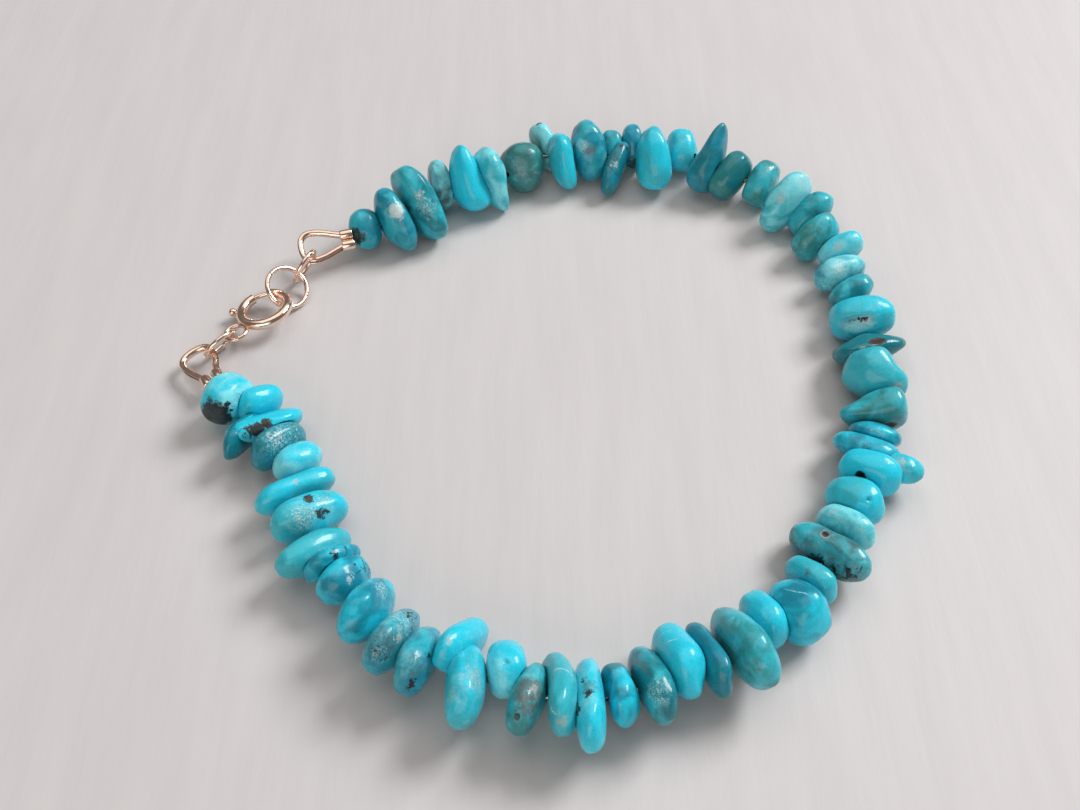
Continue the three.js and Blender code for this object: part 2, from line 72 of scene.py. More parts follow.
# The chips. Lengths are millimetres, angles degrees, and taper, bend and waist are shares.
# at: distance along the wire. side: the middle's distance outward of the wire.
# roll lifts the outer end, turn swings the chip on the table, and tip leans it along the wire.
# rise lifts it off its resting height. The last five are 0 where a row leaves them out.
Chip = namedtuple(
    "Chip", "number at side long wide thick roll turn tip taper bend waist rise", defaults=(0,) * 5
)
CHIPS = tuple(Chip(*row) for row in (
    (1, 1.5, 0.4, 3.7, 3.3, 2.7, 40, -15),
    (2, 4, -0.8, 6.1, 4.2, 2.5, 45, 5),
    (3, 6.7, -0.7, 7.6, 4.8, 2.6, 45, 10),
    (4, 10.3, 1.7, 4.8, 3.6, 2, 50, -10),
    (5, 12.3, 0.1, 6.4, 4.4, 2.9, 60, -5, 0, -0.3, 0.1),
    (6, 14.4, -1, 6.4, 3.8, 2.1, 60, 6, 0, 0.2, 0.15),
    (7, 18.4, 0.1, 4.7, 4.2, 3.8, 40, -15, 0, 0.25),
    (8, 21.4, 1.8, 5, 3.4, 1.9, 50, 20),
    (9, 22.2, -1.2, 5.6, 3.9, 2.1, 55, 5, 0, 0, 0.12),
    (10, 25.1, -0.2, 5.8, 4.3, 3.1, 60, 6),
    (11, 27.5, 0.8, 3.9, 2.8, 2.2, 50, 10),
    (12, 27.7, -2.1, 5.9, 2.8, 1.8, 20, -20),
    (13, 29.4, 1.2, 4.4, 3.1, 2.2, 60, 14),
    (14, 31.7, -1.2, 6, 4.2, 3.2, 55, 20, 0, -0.22),
    (15, 33.8, 1.9, 4.2, 3.6, 3, 30, 20),
    (16, 37.1, 0.4, 6.7, 4.1, 2.4, 60, -6, 0, -0.38),
    (17, 39.4, 0.3, 5.1, 4, 2.6, 35, -12),
    (18, 42.1, 1.4, 4.5, 3.6, 2.6, 40, 0),
    (19, 45.7, 0.2, 6.3, 4.4, 2.5, 40, 0),
    (20, 47.6, 1.6, 4.8, 3.2, 2.6, 35, -5, 0, -0.1),
    (21, 50.5, 0, 4.9, 3.8, 2.6, 30, 5),
    (22, 52.6, 1.4, 4.2, 2.9, 2.3, 30, -5),
    (23, 55.3, 0, 4.6, 3.2, 2.3, 5, 4),
    (24, 57.8, 0.2, 4.2, 3.2, 2.2, 20, 15, -25),
    (25, 61.2, 0.2, 5.6, 4.2, 3.1, 15, -4),
    (26, 64.7, 0.2, 6.2, 4, 1.9, 5, 12, -35, -0.15),
    (27, 67.9, 0.2, 5.3, 4.6, 3.2, -10, -19),
    (28, 71.5, 0.1, 5.2, 3.6, 2.6, 10, 15, 0, 0.35),
    (29, 73.9, 0.2, 4.1, 3, 1.6, 5, -8, -35),
    (30, 75.5, -0.3, 5.4, 3.6, 2, 5, -10, -35),
    (31, 77.9, 0.3, 4.8, 3.8, 2.9, 10, -4),
    (32, 76.6, 1.5, 5.4, 2.3, 2, 10, -12, 0, 0.15),
    (33, 81, -0.2, 4.7, 3.7, 2.9, 20, -10),
    (34, 83.6, 0, 4.8, 3.4, 2.3, 20, -10),
    (35, 86.2, -0.2, 6.6, 3.4, 2.9, 15, -10, 0, 0, 0, 0.2),
    (36, 89.2, -0.1, 4.3, 3.2, 2.1, 20, -8),
    (37, 92.1, 0.8, 4.6, 4.4, 3.7, 30, -10),
    (38, 94.3, -0.5, 4.6, 3.8, 2.5, 35, -15),
    (39, 97.2, 0.5, 7.4, 4.6, 2.7, 30, -8),
    (40, 99.7, -0.1, 6.5, 3.9, 2, 30, -10, 0, 0, 0, 0.2),
    (41, 101.7, -0.9, 6.1, 4.4, 2.9, 35, -8),
    (42, 104.1, 0.2, 6.6, 4.2, 2.2, 30, 0),
    (43, 106.3, 0.1, 5, 3.6, 2.2, 35, -2, 0, 0, 0, 0.2),
    (44, 108.5, 0.7, 7.5, 4.2, 2.1, 25, -3),
    (45, 110.5, 0, 6.9, 4.4, 2.1, 35, 9, 0, 0, 0.2),
    (46, 112.5, 0.4, 6, 4.1, 2.2, 35, -8),
    (47, 114.6, -1.6, 4.3, 3.7, 2.8, 45, 20),
    (48, 116.6, 0.9, 6.5, 4.5, 2.7, 30, 19),
    (49, 118.5, -1.9, 6.2, 3.4, 2.3, 40, -5),
    (50, 120.4, 0.7, 5.9, 4.2, 2.3, 35, 15),
    (51, 122.7, 0.6, 6.1, 4.2, 2.3, 35, 11),
    (52, 125.7, 0.1, 5.9, 4.3, 2.6, 35, 20),
    (53, 129.2, -0.2, 4.4, 3.7, 2.5, 30, 12),
    (54, 130.8, 0, 4.4, 3.8, 1.6, 35, 8, 15, 0, 0, 0, 0.3),
    (55, 132.5, 0.8, 6, 3.6, 2.4, 15, 8, 10),
    (56, 135.7, 0.1, 6.2, 3.9, 2.6, 15, 6),
    (57, 138.4, 0.2, 6.4, 3.6, 2.3, 12, 8, 15, 0, 0, 0.12),
    (58, 140.9, -0.8, 4.1, 3.3, 2.6, 20, 12),
    (59, 143.2, 0, 5, 3.8, 2.3, 20, 15),
    (60, 145.7, 0.1, 6.4, 4, 2, 10, -8, 40),
    (61, 145.9, 2, 5, 2.8, 1.5, 20, 30),
    (62, 147.9, -1, 3.9, 3.1, 2.2, 20, 0),
    (63, 149.9, 0.4, 4.5, 4.1, 3.6, 30, 15),
))
BACK_CHIP_COUNT = 32

# How the chips lie, and what their forms have in common. A squaring under 1 makes a form fuller.
HEADING_REACH = 6
CHIP_LOWEST_CENTRE = 2
CHIP_SETTLE = 0.08
LONG_SQUARING = 0.74
WIDE_SQUARING = 0.85
THICK_SQUARING = 0.85
WAIST_REACH = 0.4
BEND_LEVEL = 0.4
GIRTH_LEAST = 0.1
CHIP_FINENESS = 5

# Tumbling: each chip gets soft lumps and a few worn flats, as shares of its half sizes.
LUMP_SCALE = 1.1
LUMP_HEIGHT = 0.12
RIPPLE_SCALE = 3.1
RIPPLE_HEIGHT = 0.014
NOISE_REACH = 50
FLAT_COUNT = (2, 4)
FLAT_DEPTH = (0.88, 0.98)
FLAT_CROWN = 0.09

# Neighbours: the share kept clear between two chips, and the bulges on which they sit together.
CONTACT_GAP = 0.02
CLEARING_HALVINGS = 14
SEAT_REACH = 1.3
SEAT_MOST = 0.6
SEAT_SIDE = 0.6

# The wire as strung runs nearer the middles of the chips than the smooth route does. The least
# weight keeps the sum above zero where no chip is near.
LEAST_WEIGHT = 1e-9
STRUNG_SHARE = 0.85
STRUNG_SPREAD = 1.5
STRUNG_STEP = 0.25
WIRE_STRANDS = 7
WIRE_CREASE = 80
STRAND_DEPTH = 0.07
STRAND_TWIST = 0.25
BORE_RADIUS = 0.27
BORE_REACH = 4.5
BORE_SIDES = 20
BORE_SKIP = 3

# Bulges and hollows of single chips, in the chip's own frame. A hollow has a rise below zero.
Dab = namedtuple("Dab", "at reach rise")
DABS = {
    1: [Dab((0, 0.2, -1.3), 1.2, 0.3)],
    5: [Dab((-2.4, 0.3, 1.1), 1.3, 0.3), Dab((-2.6, 0.2, -0.9), 1, -0.15)],
    6: [Dab((0.6, 0.6, 1), 1.6, 0.3), Dab((-0.8, 0.6, -1), 1.4, -0.3)],
    8: [Dab((-1.6, 0.8, 0.6), 1.2, 0.25)],
    16: [Dab((0.6, 1, -1), 1.4, -0.25), Dab((3.2, 0.3, 0), 0.9, 0.12)],
    27: [
        Dab((-0.5, 1.7, -1.1), 1.2, 0.45), Dab((1.4, 1.4, -1), 1.1, -0.5),
        Dab((2.4, 0.3, 0.5), 0.8, 0.25), Dab((-1.8, 1, 0.2), 1, -0.2),
    ],
    28: [
        Dab((-1.2, 1, -0.7), 1.2, -0.2), Dab((1.2, 1.3, -0.4), 1.2, 0.2),
        Dab((-2.2, 0.6, 0), 1.1, 0.3),
    ],
    35: [Dab((-1.8, 1.2, 0), 1.4, 0.2), Dab((0.6, 1, 0.9), 1.1, -0.35), Dab((2.2, 1, 0), 1.2, 0.15)],
    40: [Dab((0.2, 0.6, 1), 1.4, -0.25)],
    43: [Dab((0, 1, 1), 1, -0.25), Dab((-1.6, 0.8, 0.8), 0.9, 0.2)],
    57: [Dab((0.1, 1.2, -0.8), 1.2, -0.25), Dab((-2, 0.8, 0), 1.2, 0.2), Dab((2, 0.8, 0), 1.2, 0.2)],
}

# The stones' finish. Scales count the swings of the noise in a millimetre, and edges are the
# levels of the noise between which an effect comes in. A bump is a strength and a depth in metres.
STONE_SPECULAR = 0.2
COAT_ROUGHNESS = 0.13
STONE_ROUGHNESS = (0.25, 0.4)
STONE_BUMP = (0.5, 0.1 * MM)
NOISE_MIDDLE = 0.5
CLOUD_SCALE = 0.45
CLOUD_EDGES = (0.36, 0.66)
CLOUD_SHIFT = (3.7, -1.9)
HAZE_SCALE = 0.9
HAZE_EDGES = (0.5, 0.78)
POLISH_EDGES = (0.3, 0.75)
GRAIN_SCALE = 7.0
GRAIN_EDGES = (0.3, 0.7)
GRAIN_SHADES = (0.9, 1.08)
GRAIN_HEIGHT = 0.25
MARK_ROUGHNESS = 0.5
MARK_DEPTH = 0.35
MARK_CORE = 0.6
TEAR_SCALE = 2.2
TEAR_REACH = 3.6
# Shares of a patch's radius at which it starts and ends to fade, for a cover of 0 and of 1.
PATCH_INNER = (0.4, 0.85)
PATCH_OUTER = (1.4, 1.15)
FLECK_SCALE = 5.5
FLECK_EDGES = (0.46, 0.62)
VEIN_CORE = 0.3
VEIN_DRIFT_SCALE = 1.1
VEIN_BREAK_SCALE = 3.5
VEIN_BREAK_EDGES = (0.38, 0.62)
VEIN_SHADES = (0.15, 0.85)
SPECK_MOST = 0.42
SPECK_EDGES = (-0.02, 0.2)
# A sunk patch's colour follows it down, and spreads over its sloping sides.
SINK_FOLLOW = 0.6
SINK_SPREAD = 0.5

# The stones' tones and those of their marks, as linear colours.
TONES = {
    "sky": (0.018, 0.57, 0.74),
    "robin": (0.035, 0.45, 0.54),
    "lagoon": (0.008, 0.24, 0.34),
    "teal": (0.007, 0.18, 0.22),
    "sea": (0.03, 0.22, 0.22),
    "aqua": (0.2, 0.72, 0.8),
    "pale": (0.42, 0.79, 0.83),
    "slate": (0.055, 0.14, 0.145),
    "deep": (0.006, 0.05, 0.055),
    "chalk": (0.74, 0.78, 0.74),
    "blush": (0.56, 0.50, 0.47),
    "sand": (0.46, 0.46, 0.33),
    "ash": (0.13, 0.12, 0.11),
    # Dark brown matrix, and on chip 31 the painted shade inside its drill hole's opening.
    "rust": (0.035, 0.02, 0.016),
    "black": (0.008, 0.007, 0.007),
}

# The marks in the stones. Places are in the chip's own frame: along it, across it, through it.
# sink: how far a patch is worn in. stretch: under 1 draws a patch out along that direction, and
# over 1 narrows it. cover: 1 for a patch of one tone, down to 0 for one broken up into fine flecks.
# Dark patches with any cover at all get the dark cover.
Patch = namedtuple(
    "Patch", "tone at radius ragged sink stretch cover", defaults=(0.3, 0, (1, 1, 1), 0.35)
)
DARK_TONES = ("black", "rust", "deep")
DARK_COVER = 0.95
Vein = namedtuple("Vein", "tone at reach toward width wander", defaults=(0.07, 0.5))
Specks = namedtuple("Specks", "tone at reach scale amount", defaults=(3.2, 0.5))
Look = namedtuple("Look", "body depth haze marks", defaults=(0, ()))
LOOKS = {
    1: Look("robin", "lagoon", 0.1, [
        Patch("deep", (-0.6, 1.1, -1.1), 0.8, 0.7, cover=0.5),
        Patch("rust", (-0.7, 1.1, -0.9), 0.4, 0.8),
    ]),
    2: Look("robin", "lagoon", 0.25, [Patch("chalk", (0.7, 2, -0.3), 0.75, 0.9, cover=0.6)]),
    3: Look("robin", "teal", 0.1, [
        Patch("chalk", (0.7, 2.1, -0.6), 0.4, 0.8, cover=0.1),
        Patch("pale", (-0.6, 2, -0.6), 0.8, 0.9, cover=0),
    ]),
    4: Look("slate", "aqua", 0.4),
    5: Look("sky", "sky"),
    6: Look("robin", "aqua", 0.4),
    7: Look("sea", "slate", 0.3),
    8: Look("aqua", "sea", 0.3, [Patch("rust", (2.3, 0.4, 0.1), 0.35, 0.3)]),
    9: Look("sky", "robin", 0.1),
    10: Look("robin", "lagoon", 0.2, [
        Patch("ash", (0.3, 2.1, -0.4), 0.7, 0.6, 0, (1.6, 1, 1)),
        Patch("pale", (0.9, 1.6, -1), 0.6, 0.5),
    ]),
    11: Look("robin", "teal", 0.2, [Patch("black", (-0.9, 1, 0), 0.45, 0.4)]),
    12: Look("teal", "lagoon", 0.1, [
        Patch("rust", (1.9, 0.9, 0.2), 0.4, 0.8, 0, (1.6, 1, 1)),
        Patch("rust", (0.3, 1.2, -0.2), 0.8, 0.9, cover=0),
        Patch("chalk", (-0.4, 1.3, 0.2), 0.3, 0.8, cover=0.2),
        Vein("rust", (-0.9, 1.2, 0.1), 1, (1, 0.3, 0.6), 0.12),
    ]),
    13: Look("robin", "lagoon", 0.1, [Patch("deep", (-1.3, 1, 0), 0.8, 0.6)]),
    14: Look("sky", "robin", 0.05),
    15: Look("sky", "robin", 0.3),
    16: Look("teal", "lagoon", 0.1, [
        Patch("rust", (-1.6, 1.4, -0.2), 0.22, 0.5), Patch("black", (-2.2, 1, 0.3), 0.25, 0.6),
    ]),
    17: Look("teal", "sea", 0.05),
    18: Look("robin", "sea", 0.3),
    19: Look("aqua", "robin", 0.3, [
        Patch("blush", (-0.1, 2.1, 0.4), 0.5, 0.7, cover=0.2),
        Patch("pale", (2.2, 1.2, 0.7), 0.8, 0.4),
    ]),
    20: Look("robin", "teal", 0.1),
    21: Look("sea", "robin", 0.3),
    22: Look("aqua", "sky", 0.3, [Patch("blush", (-0.1, 1.2, 0.6), 0.4, 0.6, cover=0.2)]),
    23: Look("aqua", "lagoon", 0.5, [Patch("chalk", (-0.4, 1.3, 0.6), 0.7, 0.8, cover=0.2)]),
    24: Look("teal", "robin"),
    25: Look("sky", "robin", 0.3, [
        Patch("pale", (-0.5, 1, 1.25), 1.25, 0.5, 0.5, (1, 1.9, 1.9), 0.5),
        Patch("chalk", (0.1, 1.1, 1.2), 0.7, 0.8, 0, (1, 1.9, 1.9), 0.4),
        Patch("slate", (-0.9, 1.2, 1.2), 0.6, 0.9, 0.1, (1, 2.4, 2.4), 0.2),
        Patch("black", (-0.3, 1.15, 1.2), 0.3, 0.9, 0.1, (0.5, 1.6, 1.6), 0.1),
    ]),
    26: Look("teal", "teal", 0, [
        Patch("rust", (0.1, 1.7, -0.4), 0.4, 0.2, 0.15, (0.6, 1, 1)),
        Patch("sand", (-1.2, 2, -0.1), 0.25),
    ]),
    27: Look("robin", "robin", 0.1, [Patch("blush", (1.7, 0.9, 1.1), 0.6, 0.4)]),
    28: Look("robin", "sea", 0.1, [
        Patch("black", (0.7, -0.3, 1.3), 0.42, 0.15, 0.3, (0.7, 1, 1), 1),
        Patch("rust", (2, 1.3, 0.5), 0.14),
    ]),
    29: Look("lagoon", "sky", 0.2, [Vein("blush", (0.2, 1.5, -0.1), 0.8, (0, 0.3, 1), 0.08)]),
    30: Look("sky", "lagoon", 0.1, [Patch("teal", (0.1, 1.8, 0), 0.4)]),
    # Chip 31's small near black sunk patch is painted shade: the dark inside its drill hole's opening.
    31: Look("sky", "sky", 0, [Patch("rust", (-0.5, 1, 1.2), 0.26, 0.1, 0.5, (1, 1, 1), 1)]),
    32: Look("sky", "robin", 0.2, [Patch("blush", (1, 0.9, 0.5), 0.55, 0.5)]),
    # Chip 33's small sunk teal patch is painted shade, darkening its pit.
    33: Look("sky", "robin", 0, [Patch("teal", (1.6, 1.2, 0.5), 0.24, 0.1, 0.4)]),
    34: Look("aqua", "robin", 0.3, [Patch("blush", (-0.6, 1.5, 0.2), 0.3, 0.4)]),
    35: Look("robin", "slate", 0.3, [
        Patch("chalk", (-0.3, 1.7, -0.1), 0.36, 0.2),
        Patch("rust", (-0.3, 1.7, -0.1), 0.22, 0.1, 0.15),
        Patch("ash", (-1.1, 0, 1.2), 0.6, 0.8, cover=0.5),
        Patch("black", (-0.2, -0.1, 1.3), 0.6, 0.8), Patch("black", (1.4, 0.1, 1.3), 0.35, 0.9),
        Patch("black", (2.4, 0.1, 1), 0.4, 0.9), Patch("black", (2.9, 0.5, 0.6), 0.22, 0.8),
    ]),
    36: Look("robin", "sky", 0.1, [Patch("ash", (0.3, 1.3, 0.5), 0.3, 0.3)]),
    37: Look("lagoon", "sky", 0, [Vein("pale", (0.5, 2.2, 0.1), 1.2, (0.3, 0.2, 1), 0.08)]),
    38: Look("sky", "sky", 0.1),
    39: Look("robin", "sea", 0.3),
    40: Look("lagoon", "teal", 0.1),
    41: Look("sky", "sky", 0.1, [
        Vein("chalk", (0.8, 2, 0.5), 0.6, (1, 0, 0.3), 0.06),
        Vein("pale", (-0.5, 2, 0.7), 0.8, (1, 0.2, 0)),
    ]),
    42: Look("teal", "robin", 0.1, [Patch("pale", (2.5, 1.1, 0.6), 0.8, 0.9, cover=0)]),
    43: Look("sky", "lagoon", 0.1, [Patch("teal", (-1.5, 1.4, 0.2), 1.3, 0.5, cover=0.8)]),
    44: Look("sky", "aqua", 0.2, [
        Patch("ash", (0.7, 2, 0.2), 0.6, 0.8, cover=0.3), Patch("rust", (1.3, 2, 0.1), 0.32, 0.5),
        Patch("rust", (-0.1, 1.9, 0.5), 0.2, 0.5),
        Patch("rust", (1.8, 1.1, 0.7), 0.3, 0.4, 0, (0.6, 1, 1)),
    ]),
    45: Look("robin", "robin", 0.2, [
        Vein("chalk", (0.6, 1.8, -0.2), 1.3, (1, 0.8, 0.4), 0.1),
        Vein("chalk", (2.9, 0.8, 0.7), 0.8, (0.4, 1, 0)), Patch("sand", (3.3, 0, 0.1), 0.4, 0.4),
    ]),
    46: Look("sea", "robin", 0.3, [
        Patch("ash", (1.7, 1.6, -0.3), 1.1, 0.9, cover=0.5),
        Patch("ash", (2.4, 0.9, -0.4), 0.7, 0.9, cover=0.5),
        Patch("blush", (1.5, 1.7, -0.5), 0.35, 0.7), Patch("deep", (3, 0.3, 0), 0.18, 0.1, 0.1),
    ]),
    47: Look("sky", "aqua", 0.3, [
        # The small sunk lagoon patch is painted shade, darkening the chip's dimple.
        Patch("lagoon", (1.8, 1, 0), 0.2, 0.2, 0.1), Patch("slate", (-0.4, 1.2, 1), 0.4, 0.3),
    ]),
    48: Look("sky", "robin", 0.4, [Patch("blush", (1.5, 1.6, -0.7), 1, 0.9, cover=0)]),
    49: Look("sky", "sky", 0.3, [Patch("blush", (2.6, 1, 0), 0.3, 0.4)]),
    50: Look("robin", "lagoon", 0.2, [
        Patch("ash", (2.2, 0.8, -0.4), 0.9, 0.9, cover=0.1),
        Patch("black", (2.7, -0.3, -0.6), 0.4, 0.7), Patch("black", (1.1, 1.2, -0.8), 0.2, 0.6),
        Patch("ash", (-0.6, 1.5, -0.7), 0.5, 0.9, cover=0),
    ]),
    51: Look("robin", "lagoon", 0.4, [
        Patch("pale", (-0.2, 1.7, -0.4), 1.4, 0.9, cover=0),
        Patch("ash", (2.2, 0.9, -0.4), 1.3, 0.9, cover=0.2),
        Patch("black", (2.6, 0.6, -0.5), 0.8, 0.9, cover=0),
        Patch("black", (-0.9, 1.6, -0.4), 0.4, 0.9), Patch("chalk", (1.2, 1.3, -0.7), 0.35, 0.7),
        Vein("black", (-0.6, 1.4, -0.7), 0.9, (1, 0.5, 0), 0.12),
    ]),
    52: Look("sky", "lagoon", 0, [Patch("pale", (-0.2, 1.9, -0.6), 0.6, 0.9, cover=0.1)]),
    53: Look("lagoon", "sky", 0.1, [
        Specks("black", (-0.6, 1.6, -0.4), 1.4, 2.6, 0.5), Patch("chalk", (0.8, 1.2, -1), 0.3, 0.6),
        Vein("black", (-0.9, 1.5, -0.3), 0.9, (1, 0.6, 0), 0.15),
        Vein("black", (-0.4, 1.4, -0.8), 0.8, (0.3, 1, 0.8), 0.12),
        Patch("black", (-1.4, 1.1, -0.8), 0.4, 0.9, cover=0),
    ]),
    54: Look("sky", "lagoon", 0, [
        Patch("black", (0.9, 1.6, -0.2), 0.25, 0.7),
        Vein("black", (0, 1.7, -0.3), 0.8, (1, 0.4, 0.2), 0.1),
    ]),
    55: Look("robin", "robin", 0.2),
    56: Look("robin", "sky", 0.3, [
        Patch("chalk", (1, 1.3, -0.9), 1, 0.9, cover=0),
        Patch("chalk", (-0.6, 1.8, -0.6), 0.6, 0.9, cover=0),
        Patch("rust", (-0.4, 1.3, -1), 0.4, 0.7, 0.1), Patch("rust", (0.2, 1.9, 0.1), 0.4, 0.6),
    ]),
    57: Look("sky", "robin", 0.1, [Patch("blush", (0.3, 1.8, 0), 0.22, 0.3)]),
    58: Look("sky", "aqua", 0.2),
    59: Look("lagoon", "teal", 0.1, [
        Patch("aqua", (0.1, 1.4, -0.7), 2.1, 0.9, cover=0),
        Patch("chalk", (0.8, 1.6, -0.7), 0.8, 0.9, cover=0),
    ]),
    60: Look("sky", "sky", 0, [
        Patch("rust", (0.4, 2, 0.1), 0.42, 0.6, 0.1),
        Patch("rust", (1.2, 1.8, -0.2), 0.5, 0.6, 0.12, (0.6, 1, 1)),
    ]),
    61: Look("lagoon", "teal"),
    62: Look("sky", "sky", 0.1),
    63: Look("aqua", "sky", 0.3, [
        Patch("black", (2.2, -0.9, -0.4), 1.5, 0.6), Patch("black", (1.7, 0.2, -1.1), 0.5, 0.8),
        Patch("ash", (0.6, 0.9, -1.4), 0.5, 0.9, cover=0),
    ]),
}

# The wire guards. The outline is one half of the gutter's middle line, out from the sleeves.
# A fineness of two numbers is the sides round a wire or tube and the stations along it.
GUARD_OUTLINE = (
    (0, 0.5), (0.6, 0.55), (1.5, 0.85), (2.6, 1.25), (3.6, 1.4), (4.2, 1.2), (4.55, 0.7), (4.65, 0),
)
GUARD_TAIL = (-1.2, 0.24)
GUTTER_INNER = 0.22
GUTTER_OUTER = 0.32
GUTTER_ARC = (-125, 125)
GUTTER_SPAN = (0.13, 0.87)
SLEEVE_INNER = 0.26
SLEEVE_OUTER = 0.5
SLEEVE_SPAN = (-0.25, 0.95)
SLEEVE_SIDE = 0.54
GUTTER_FINENESS = 25
GUTTER_STEPS = 90
LIP_FINENESS = 6
SLEEVE_FINENESS = 7
SLEEVE_SIDES = 32
LOOP_WIRE_RADIUS = 0.14
LOOP_WIRE_SHORT = 0.9
LOOP_WIRE_FINENESS = (16, 120)
Guard = namedtuple("Guard", "name at heading pitch roll")
GUARDS = (
    Guard("wire_guard_upper", (-17.4, 20.2, 2.2), 196, -1, -20),
    Guard("wire_guard_lower", (-27.05, 3.22, 1.8), 124, -7, -10),
)

# The plain rings: the middle, the direction square to the ring, and the joint's place and gap in
# degrees. The lip is the rounding of the wire's ends, as a share of the wire's radius.
RING_LIP = 0.3
RING_FINENESS = (24, 160)
Ring = namedtuple("Ring", "name radius wire at square joint gap")
RINGS = (
    Ring("jump_ring_upper", 1.55, 0.21, (-21.33, 17.18, 1.71), (-0.85, 0.36, 0.38), 70, 1.6),
    Ring("jump_ring_lower", 1.55, 0.21, (-27.37, 7.69, 1.62), (-0.67, 0.56, 0.49), 200, 1.6),
    Ring("catch_ring", 1.85, 0.22, (-22.62, 14.67, 1.45), (0.52, -0.32, 0.79), 150, 0.8),
)

# The spring ring clasp. Angles are counted about its middle from the end loop, in degrees.
CLASP_AT = (-24.27, 12, 1.43)
CLASP_SQUARE = (-0.18, 0.1, 0.98)
CLASP_TO_LOOP = (-0.6, -0.8, -0.03)
CLASP_RADIUS = 2.1
CLASP_TUBE = 0.45
CLASP_SPAN = (-107, 214)
CLASP_BORE = 0.29
BORE_SPAN = (-113, -8)
SOCKET_SPAN = (206, 220)
SLOT_SPAN = (-61, -25)
SLOT_WIDTH = 0.36
SLOT_DEPTH = 0.7
SLOT_STEPS = 24
TUBE_LIP = 0.09
TUBE_FINENESS = (32, 170)
BORE_FINENESS = (24, 60)
SOCKET_FINENESS = (24, 8)
END_LOOP_RADIUS = 0.95
END_LOOP_WIRE = 0.2
END_LOOP_SINK = 0.05
END_LOOP_SPAN = (0, 357)
END_LOOP_SIDES = 20
END_LOOP_STEPS = 96
BOLT_RADIUS = 0.2
BOLT_SPAN = (-150, -40)
BOLT_LIP = 0.12
BOLT_FINENESS = (20, 90)
NUB_ANGLE = -56
NUB_STEM = 0.12
NUB_NECK = 0.42
NUB_COLLAR = ((0.46, 0.2), (0.52, 0.2))
NUB_RADIUS = 0.36
NUB_OUT = 0.85
NUB_SIDES = 20
NUB_ARCS = 14
NUB_HIDDEN_ARCS = 3

# The metals' finish. The scales count the swings of the noise in a metre.
WEAR_SCALE = 1100.0
WEAR_EDGES = (0.42, 0.72)
WEAR_MOST = 0.5
POLISH_LINE_SCALE = 9000.0
METAL_ROUGHNESS = (0.14, 0.3)
METAL_BUMP = (0.12, 0.02 * MM)
PLATE_WEAR = 0.45
STEEL_WEAR = 0.5
STEEL_DULLING = 0.6

# The table, in metres, and the faint strokes in its paint.
TABLE_HALF = 0.6
TABLE_TOP = -0.01 * MM
STROKE_SHAPE = (1, 0.12, 1)
STROKE_SCALE = 420.0
STROKE_EDGES = (0.3, 0.7)
STROKE_SHADES = (0.975, 1.02)
TABLE_ROUGHNESS = 0.6
TABLE_BUMP = (0.25, 0.2 * MM)

# The lights: the way to each from the middle, how far off it hangs and its size, in metres.
Lamp = namedtuple("Lamp", "name toward distance size colour")
LAMPS = (
    Lamp("window", (0.62, 0.42, 0.66), 0.9, (0.42, 0.34), (0.985, 0.99, 1.0)),
    Lamp("ceiling", (-0.1, 0.3, 1), 0.8, (0.9, 0.9), (1.0, 0.965, 0.94)),
    Lamp("fill", (-0.25, -1, 0.45), 0.9, (0.9, 0.6), (1.0, 0.955, 0.92)),
)
ROOM_COLOUR = (1, 0.92, 0.86)

# The camera looks down at the table from the front. Its distance frames the photograph's view.
CAMERA_AT = (-0.21, -65.08, 76.63)
CAMERA_ELEVATION = 50
CAMERA_LENS = 40
CAMERA_SENSOR = 36
CAMERA_CLIP = 5 * MM


def colour_setting(name, description, default):
    return bpy.props.FloatVectorProperty(
        name=name, description=description, default=default, subtype="COLOR", size=3, min=0, max=1
    )


def power_setting(name, description, default):
    return bpy.props.FloatProperty(
        name=name, description=description, default=default, subtype="POWER", unit="POWER", min=0
    )


class BraceletStoneSettings(bpy.types.PropertyGroup):
    """Sizes and finish of the stones and of the wire that they are strung on."""

    tint: colour_setting("Stone Tint", "Colour that multiplies the tones of all the stones", (1, 1, 1))
    gloss: bpy.props.FloatProperty(
        name="Polish",
        description="Share of clear polish over the stones",
        default=0.45,
        subtype="FACTOR",
        min=0,
        max=1,
    )
    wire_radius: bpy.props.FloatProperty(
        name="Wire Radius",
        description="Radius of the beading wire",
        default=0.15 * MM,
        subtype="DISTANCE",
        unit="LENGTH",
        min=0.1 * MM,
    )
    wire_colour: colour_setting("Wire Colour", "Colour of the steel beading wire", (0.26, 0.26, 0.27))


class BraceletMetalSettings(bpy.types.PropertyGroup):
    """Finish of the guards, rings and clasp."""

    colour: colour_setting("Rose Gold", "Colour of the polished rose gold", (0.95, 0.71, 0.58))
    dull_colour: colour_setting(
        "Worn Gold", "Colour of the rose gold where handling has dulled it", (0.82, 0.54, 0.39)
    )


class BraceletStageSettings(bpy.types.PropertyGroup):
    """The table and the light."""

    table_colour: colour_setting("Table", "Colour of the pale table", (0.55, 0.53, 0.53))
    window_power: power_setting("Window", "Power of the soft window light", 8.2)
    ceiling_power: power_setting("Ceiling", "Power of the light that the ceiling gives back", 2.6)
    fill_power: power_setting("Fill", "Power of the soft light from the front", 3.2)
    room_light: bpy.props.FloatProperty(
        name="Room Light",
        description="Strength of the light that comes from all round",
        default=0.16,
        min=0,
    )


# Curves and placing.


